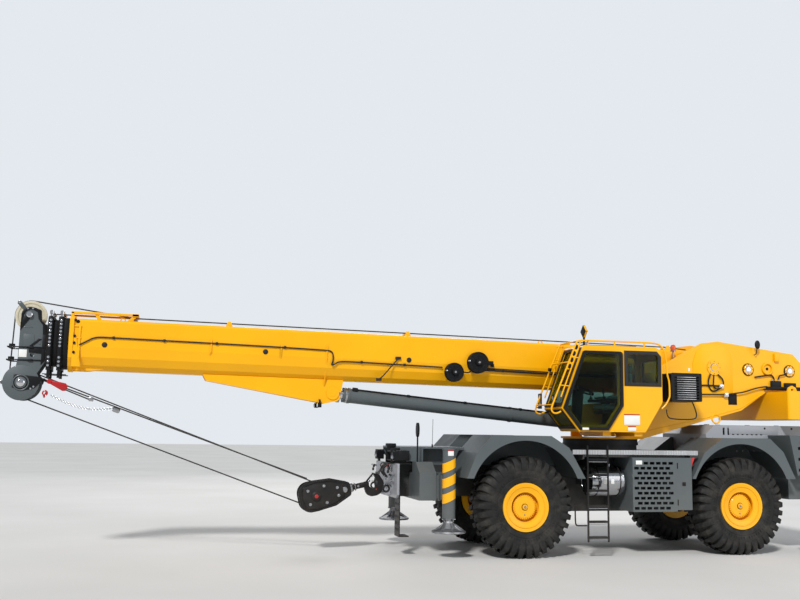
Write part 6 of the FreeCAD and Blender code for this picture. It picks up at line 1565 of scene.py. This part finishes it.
        # Rear mirror on its stalk, and the lifting lugs of the counterweight
        black.append(pipe([(3.070, -0.545, 3.740), (3.070, -0.62, 3.76), (3.072, -0.64, 3.83),
                           (3.075, -0.64, 3.88)], 0.009, SLEW))
        oval = Matrix.Translation(on_slew(3.077, -0.66, 3.935)) @ Matrix.Diagonal((0.055, 1, 0.085, 1))
        black.append(turned([(0.92, 0), (1.0, 0.006), (1.0, 0.024), (0.8, 0.034)], (0, 0.02, 0), (0, -1, 0),
                            oval, 36))
        for y in (-0.75, 0.75):
            eye = frame_plate([(3.62, 3.0), (3.66, 3.10), (3.74, 3.14), (3.82, 3.10), (3.86, 3.0),
                               (3.80, 2.995)],
                              [(3.71, 3.05), (3.72, 3.075), (3.74, 3.085), (3.76, 3.075), (3.77, 3.05),
                               (3.74, 3.035)],
                              y - 0.02, y + 0.02, SLEW, 0.003)
            yellow.append(eye)
        piece("turntable_caps", black, "superstructure", "black enamel")
        piece("turntable_bright_parts", bright, "superstructure", "hard chrome")
        piece("turntable_plates", yellow, "superstructure", "yellow enamel")
        piece("turntable_hoses", hoses, "superstructure", "hose rubber")
        corner = Matrix.Translation(on_slew(3.4154, -1.1446, 2.555)) @ Matrix.Rotation(math.radians(45), 4,
                                                                                       "Z")
        signs = [block((-0.004, -0.060, -0.065), (0.006, 0.060, 0.065), corner, 0.0005)]
        signs.append(block((2.30, -0.5435, 3.30), (2.39, -0.5405, 3.37), SLEW, 0.0005))
        signs.append(block((1.62, -0.5435, 3.38), (1.66, -0.5405, 3.44), SLEW, 0.0005))
        piece("blank_signs", signs, "superstructure", "white decal")
        reflectors = [turned([(0.042, 0), (0.042, 0.006), (0.034, 0.010)],
                             on_slew(3.72, side * 1.250, 2.634), (0, side, 0),
                             None, 32) for side in (-1, 1)]
        reflectors += [turned([(0.042, 0), (0.042, 0.006), (0.034, 0.010)],
                              on_slew(4.300, side * 0.95, 2.634), (1, 0, 0), None, 32) for side in (-1, 1)]
        piece("weight_reflectors", reflectors, "superstructure", "red lens")

        # Lift cylinder: gland nut, bright band, port blocks and the pipe along the barrel
        rings = [turned([(0.150, 0), (0.150, 0.05), (0.142, 0.06), (0.138, 0.10), (0.128, 0.11)],
                        (-5.075, 0, 0), (-1, 0, 0), LIFT, 48),
                 turned([(0.1385, 0), (0.140, 0.006), (0.140, 0.034), (0.1385, 0.04)], (-4.93, 0, 0),
                        (-1, 0, 0), LIFT, 48)]
        return_pipe = [bar((-4.80, -0.10, 0.118), (-0.55, -0.10, 0.118), 0.013, LIFT, 16),
                       block((-4.86, -0.13, 0.085), (-4.76, -0.07, 0.150), LIFT, 0.008),
                       block((-0.58, -0.13, 0.085), (-0.48, -0.07, 0.150), LIFT, 0.008)]
        for x in (-3.8, -2.7, -1.6):
            return_pipe.append(block((x - 0.025, -0.125, 0.10), (x + 0.025, -0.075, 0.138), LIFT, 0.005))
        piece("lift_gland", rings, "lift_barrel", "machined steel")
        piece("lift_pipe", return_pipe, "lift_barrel", "black enamel")
        return {"FINISHED"}


class CRANE_OT_carrier(bpy.types.Operator):
    """Carrier trim: winch, lamps, hood details, latches, straps, rungs, jack stripes and floats"""

    bl_idname = "crane.carrier"
    bl_label = "Carrier trim"

    def nose(self, hose):
        """Recovery winch on the nose, lamps, cap, whip aerial and hoses."""
        black, bright, hoses = [], [], []
        black += [block((-4.30, -0.62, 1.595), (-3.86, -0.60, 1.86), SLEW, 0.01),
                  block((-4.30, -0.20, 1.595), (-3.86, -0.18, 1.86), SLEW, 0.01),
                  bar(on_slew(-4.10, -0.70, 1.73), on_slew(-4.10, -0.10, 1.73), 0.075, None, 32, 0.006),
                  bar(on_slew(-4.10, -0.60, 1.73), on_slew(-4.10, -0.585, 1.73), 0.125, None, 40, 0.004),
                  bar(on_slew(-4.10, -0.205, 1.73), on_slew(-4.10, -0.19, 1.73), 0.125, None, 40, 0.004),
                  block((-4.20, -0.80, 1.64), (-4.00, -0.69, 1.82), SLEW, 0.015),
                  block((-4.36, -0.58, 1.862), (-4.19, -0.42, 1.940), SLEW, 0.02),
                  block((-4.34, -0.60, 1.58), (-4.22, -0.20, 1.60), SLEW, 0.004)]
        for z in (1.64, 1.80):
            black.append(bar(on_slew(-4.27, -0.60, z), on_slew(-4.27, -0.20, z), 0.016, None, 16, 0.003))
        for side in (-1, 1):
            for y, z in ((0.66, 1.70), (0.74, 1.70)):
                bright.append(turned([(0.036, 0), (0.036, 0.006), (0.026, 0.012)],
                                     on_slew(-4.290, side * y, z), (-1, 0, 0), None, 28))
        coil = ring(on_slew(-4.10, -0.570, 1.73), (0, 1, 0), 0.086, 0.008, None, 32)
        coil = row(coil, 22, (0, 0.0165, 0))
        for y in (-0.52, -0.44, -0.30):
            hoses.append(pipe([(-4.33, y, 1.56), (-4.40, y, 1.52), (-4.40, y + 0.02, 1.42),
                               (-4.34, y + 0.03, 1.36)], hose, SLEW))
        for y, z in ((-0.66, 1.50), (-0.60, 1.44), (0.60, 1.50), (0.66, 1.44)):
            hoses.append(bar(on_slew(-4.330, y, z), on_slew(-4.360, y, z), 0.028, None, 20, 0.004))
        black.append(bar(on_slew(-3.55, -0.66, 1.88), on_slew(-3.54, -0.66, 2.38), 0.004, None, 10))
        black.append(bar(on_slew(-3.55, -0.66, 1.86), on_slew(-3.55, -0.66, 1.93), 0.014, None, 16, 0.003))
        # Tow hooks and bolts on the nose plate
        for side in (-1, 1):
            black.append(ring(on_slew(-4.355, side * 0.52, 1.14), (0, 1, 0), 0.055, 0.018, None, 28))
            bright += bolts([on_slew(-4.331, side * y, z) for y in (0.80, 0.40) for z in (1.08, 1.30, 1.52)],
                            (-1, 0, 0), 0.016)
        piece("nose_winch", black, "root", "black enamel")
        piece("winch_rope", [coil], "root", "greased rope")
        piece("nose_bolts", bright, "root", "machined steel")
        piece("nose_hoses", hoses, "root", "hose rubber")
        # The nose plate's slots and holes are thin black plates and discs on its face: painted shade in the
        # openings.
        holes = []
        for y0, y1, z in ((-0.86, -0.70, 1.50), (-0.60, -0.50, 1.48), (-0.84, -0.60, 1.37),
                          (-0.52, -0.30, 1.33), (0.50, 0.70, 1.50), (0.30, 0.52, 1.36), (0.60, 0.84, 1.33)):
            holes.append(block((-4.333, y0, z), (-4.3295, y1, z + 0.035), SLEW, 0.001))
        for y in (-0.80, -0.66, -0.52, -0.36, 0.36, 0.52, 0.66, 0.80):
            holes.append(turned([(0.026, 0), (0.026, 0.003)], on_slew(-4.330, y, 1.20), (-1, 0, 0), None, 24))
        piece("nose_slots", holes, "root", "black enamel")

    def side_boxes(self):
        """Latches, straps, blank labels, bright rungs and the bracket behind the cabinet."""
        black, bright, red, white = [], [], [], []
        for side in (-1, 1):
            face = side * BOX_FACE_Y
            black.append(block((0.885, face, 1.245), (0.950, face + side * 0.012, 1.310), SLEW, 0.004))
            black.append(block((0.905, face + side * 0.010, 1.262), (0.930, face + side * 0.020, 1.294),
                               SLEW, 0.004))
            for z in (0.95, 1.60):
                black.append(bar(on_slew(0.795, face, z - 0.05), on_slew(0.795, face, z + 0.05), 0.010,
                                 None, 14))
        for x in (-0.66, -0.24):
            black.append(ring(on_slew(x, -1.120, 1.310), (1, 0, 0), 0.268, 0.010, None, 56))
            bright.append(bolt(on_slew(x, -1.392, 1.34), (0, -1, 0), 0.014))
        bright.append(bar(on_slew(-0.36, -1.12, 1.57), on_slew(-0.36, -1.12, 1.615), 0.045, None, 28, 0.006))
        bright.append(ring(on_slew(-0.772, -1.120, 1.310), (1, 0, 0), 0.250, 0.010, None, 56))
        for i in range(6):
            z = 0.30 + 0.270 * i
            for side in (-1, 1):
                bright.append(bar(on_slew(-0.925, side * 1.532, z + 0.012),
                                  on_slew(-0.576, side * 1.532, z + 0.012), 0.007, None, 12))
        step = [(-0.955, 0.905), (-1.10, 0.910), (-1.165, 0.900), (-1.175, 0.84), (-1.172, 0.62),
                (-1.16, 0.562), (-1.10, 0.553), (-0.955, 0.556)]
        black.append(pipe([(x, -1.50, z) for x, z in step], 0.013, SLEW))
        red.append(plate([(1.080, 1.745), (1.150, 1.745), (1.080, 1.570)], -1.530, -1.518, SLEW, 0.002))
        white += [block((-0.58, -1.388, 1.27), (-0.50, -1.3845, 1.37), SLEW, 0.0005),
                  block((-0.43, -1.388, 1.27), (-0.37, -1.3845, 1.35), SLEW, 0.0005),
                  block((-0.02, -1.5430, 1.62), (0.10, -1.5405, 1.69), SLEW, 0.0005)]
        piece("box_latches", black, "root", "black enamel")
        piece("box_bright_parts", bright, "root", "polished stainless")
        piece("box_bracket", red, "root", "red enamel")
        piece("box_labels", white, "root", "white decal")

    def jacks(self):
        """Slanting stripes and labels on the jack housings, and bolts on the float pads."""
        for corner, x, y in (("front_left", -3.430, -1.330), ("front_right", -3.770, 1.330),
                             ("rear_right", 3.430, 1.330), ("rear_left", 3.770, -1.330)):
            side = -1 if y < 0 else 1
            stripes = []
            for z in (1.060, 1.322, 1.584):
                free_hands()
                bpy.ops.mesh.primitive_cylinder_add(vertices=48, radius=0.1135, depth=0.5,
                                                    end_fill_type="NOTHING", location=on_slew(x, y, z))
                band = settle()
                edit(band)
                for lift, clear in ((0.080, "clear_outer"), (-0.080, "clear_inner")):
                    bpy.ops.mesh.select_all(action="SELECT")
                    bpy.ops.mesh.bisect(plane_co=on_slew(x, y, z + lift), plane_no=(-0.47, 0, 1),
                                        **{clear: True})
                bpy.ops.mesh.select_all(action="SELECT")
                bpy.ops.mesh.solidify(thickness=-0.0015)
                bpy.ops.mesh.normals_make_consistent(inside=False)
                bpy.ops.object.mode_set(mode="OBJECT")
                stripes.append(band)
            piece("jack_stripes_" + corner, stripes, "beam_" + corner, "yellow enamel")
            tag = block((x - 0.050, y + side * 0.100, 1.745), (x + 0.050, y + side * 0.1165, 1.825), SLEW,
                        0.002)
            band = block((x - 0.050, y + side * 0.100, 1.825), (x + 0.050, y + side * 0.1165, 1.848), SLEW,
                         0.002)
            piece("jack_label_" + corner, [tag], "beam_" + corner, "white decal")
            piece("jack_label_band_" + corner, [band], "beam_" + corner, "red enamel")
            pins = [bar(on_slew(x - 0.12, y, 0.668), on_slew(x + 0.12, y, 0.668), 0.014, None, 16, 0.003)]
            pins += bolts([on_slew(x + 0.10 * math.cos(a), y + 0.10 * math.sin(a), 0.640)
                           for a in (0.6, 2.2, 3.7, 5.3)],
                          (0, 0, 1), 0.012)
            piece("float_pins_" + corner, pins, "jack_" + corner, "machined steel")

    def hood(self):
        """Hood handles, hinges, grille bars, filler, bolts and a side cover."""
        black, bright = [], []
        for x in (2.30, 2.95, 3.60):
            for side in (-1, 1):
                black.append(bar(on_slew(x + 0.02, side * 0.30, 2.352),
                                 on_slew(x + 0.12, side * 0.30, 2.352), 0.010, None, 12))
        for x in (3.05, 3.64):
            for side in (-1, 1):
                black.append(turned([(0.020, 0), (0.020, 0.005), (0.014, 0.008)],
                                    on_slew(x, side * 0.8405, 2.295), (0, side, 0), None, 28))
        for i in range(9):
            z = 1.66 + 0.055 * i
            black.append(block((4.241, -0.62, z), (4.252, 0.62, z + 0.026), SLEW, 0.003))
        bright.append(bar(on_slew(2.55, 0.42, 2.345), on_slew(2.55, 0.42, 2.375), 0.055, None, 28, 0.006))
        for x in (1.30, 2.15):
            for side in (-1, 1):
                bright += bolts([on_slew(x + 0.12 * i, side * 1.30,
                                         2.106 - (0.0 if x < 2 else 0.24)) for i in range(4)], (0, 0, 1),
                                0.010)
        cover = block((2.28, -0.8455, 2.185), (3.34, -0.8402, 2.330), SLEW, 0.001)
        piece("hood_side_cover", [cover], "root", "grey enamel")
        piece("hood_fittings", black, "root", "black enamel")
        piece("hood_bright_parts", bright, "root", "machined steel")

    def execute(self, context):
        self.nose(context.scene.crane_trim.hose)
        self.side_boxes()
        self.jacks()
        self.hood()
        return {"FINISHED"}


PIECES = (CRANE_OT_finishes, CRANE_OT_stage, CRANE_OT_tyres, CRANE_OT_wheels, CRANE_OT_boom,
          CRANE_OT_ropes, CRANE_OT_head, CRANE_OT_tackle, CRANE_OT_cab, CRANE_OT_seat, CRANE_OT_turntable,
          CRANE_OT_carrier)
SETTINGS = {
    "crane_stage": StageSettings,
    "crane_finish": FinishSettings,
    "crane_tyre": TyreSettings,
    "crane_rope": RopeSettings,
    "crane_trim": TrimSettings,
}


class CRANE_PT_panel(bpy.types.Panel):
    """The crane's pieces, in the order in which they are made"""

    bl_label = "Crane"
    bl_space_type = "VIEW_3D"
    bl_region_type = "UI"
    bl_category = "Crane"

    def draw(self, context):
        for operator in PIECES:
            self.layout.operator(operator.bl_idname)


def register():
    for cls in (*SETTINGS.values(), *PIECES, CRANE_PT_panel):
        bpy.utils.register_class(cls)
    for name, cls in SETTINGS.items():
        setattr(bpy.types.Scene, name, bpy.props.PointerProperty(type=cls))


def unregister():
    for name in SETTINGS:
        delattr(bpy.types.Scene, name)
    for cls in reversed((*SETTINGS.values(), *PIECES, CRANE_PT_panel)):
        bpy.utils.unregister_class(cls)


def main():
    register()
    for operator in PIECES:
        group, name = operator.bl_idname.split(".")
        getattr(getattr(bpy.ops, group), name)()


if __name__ == "__main__":
    main()
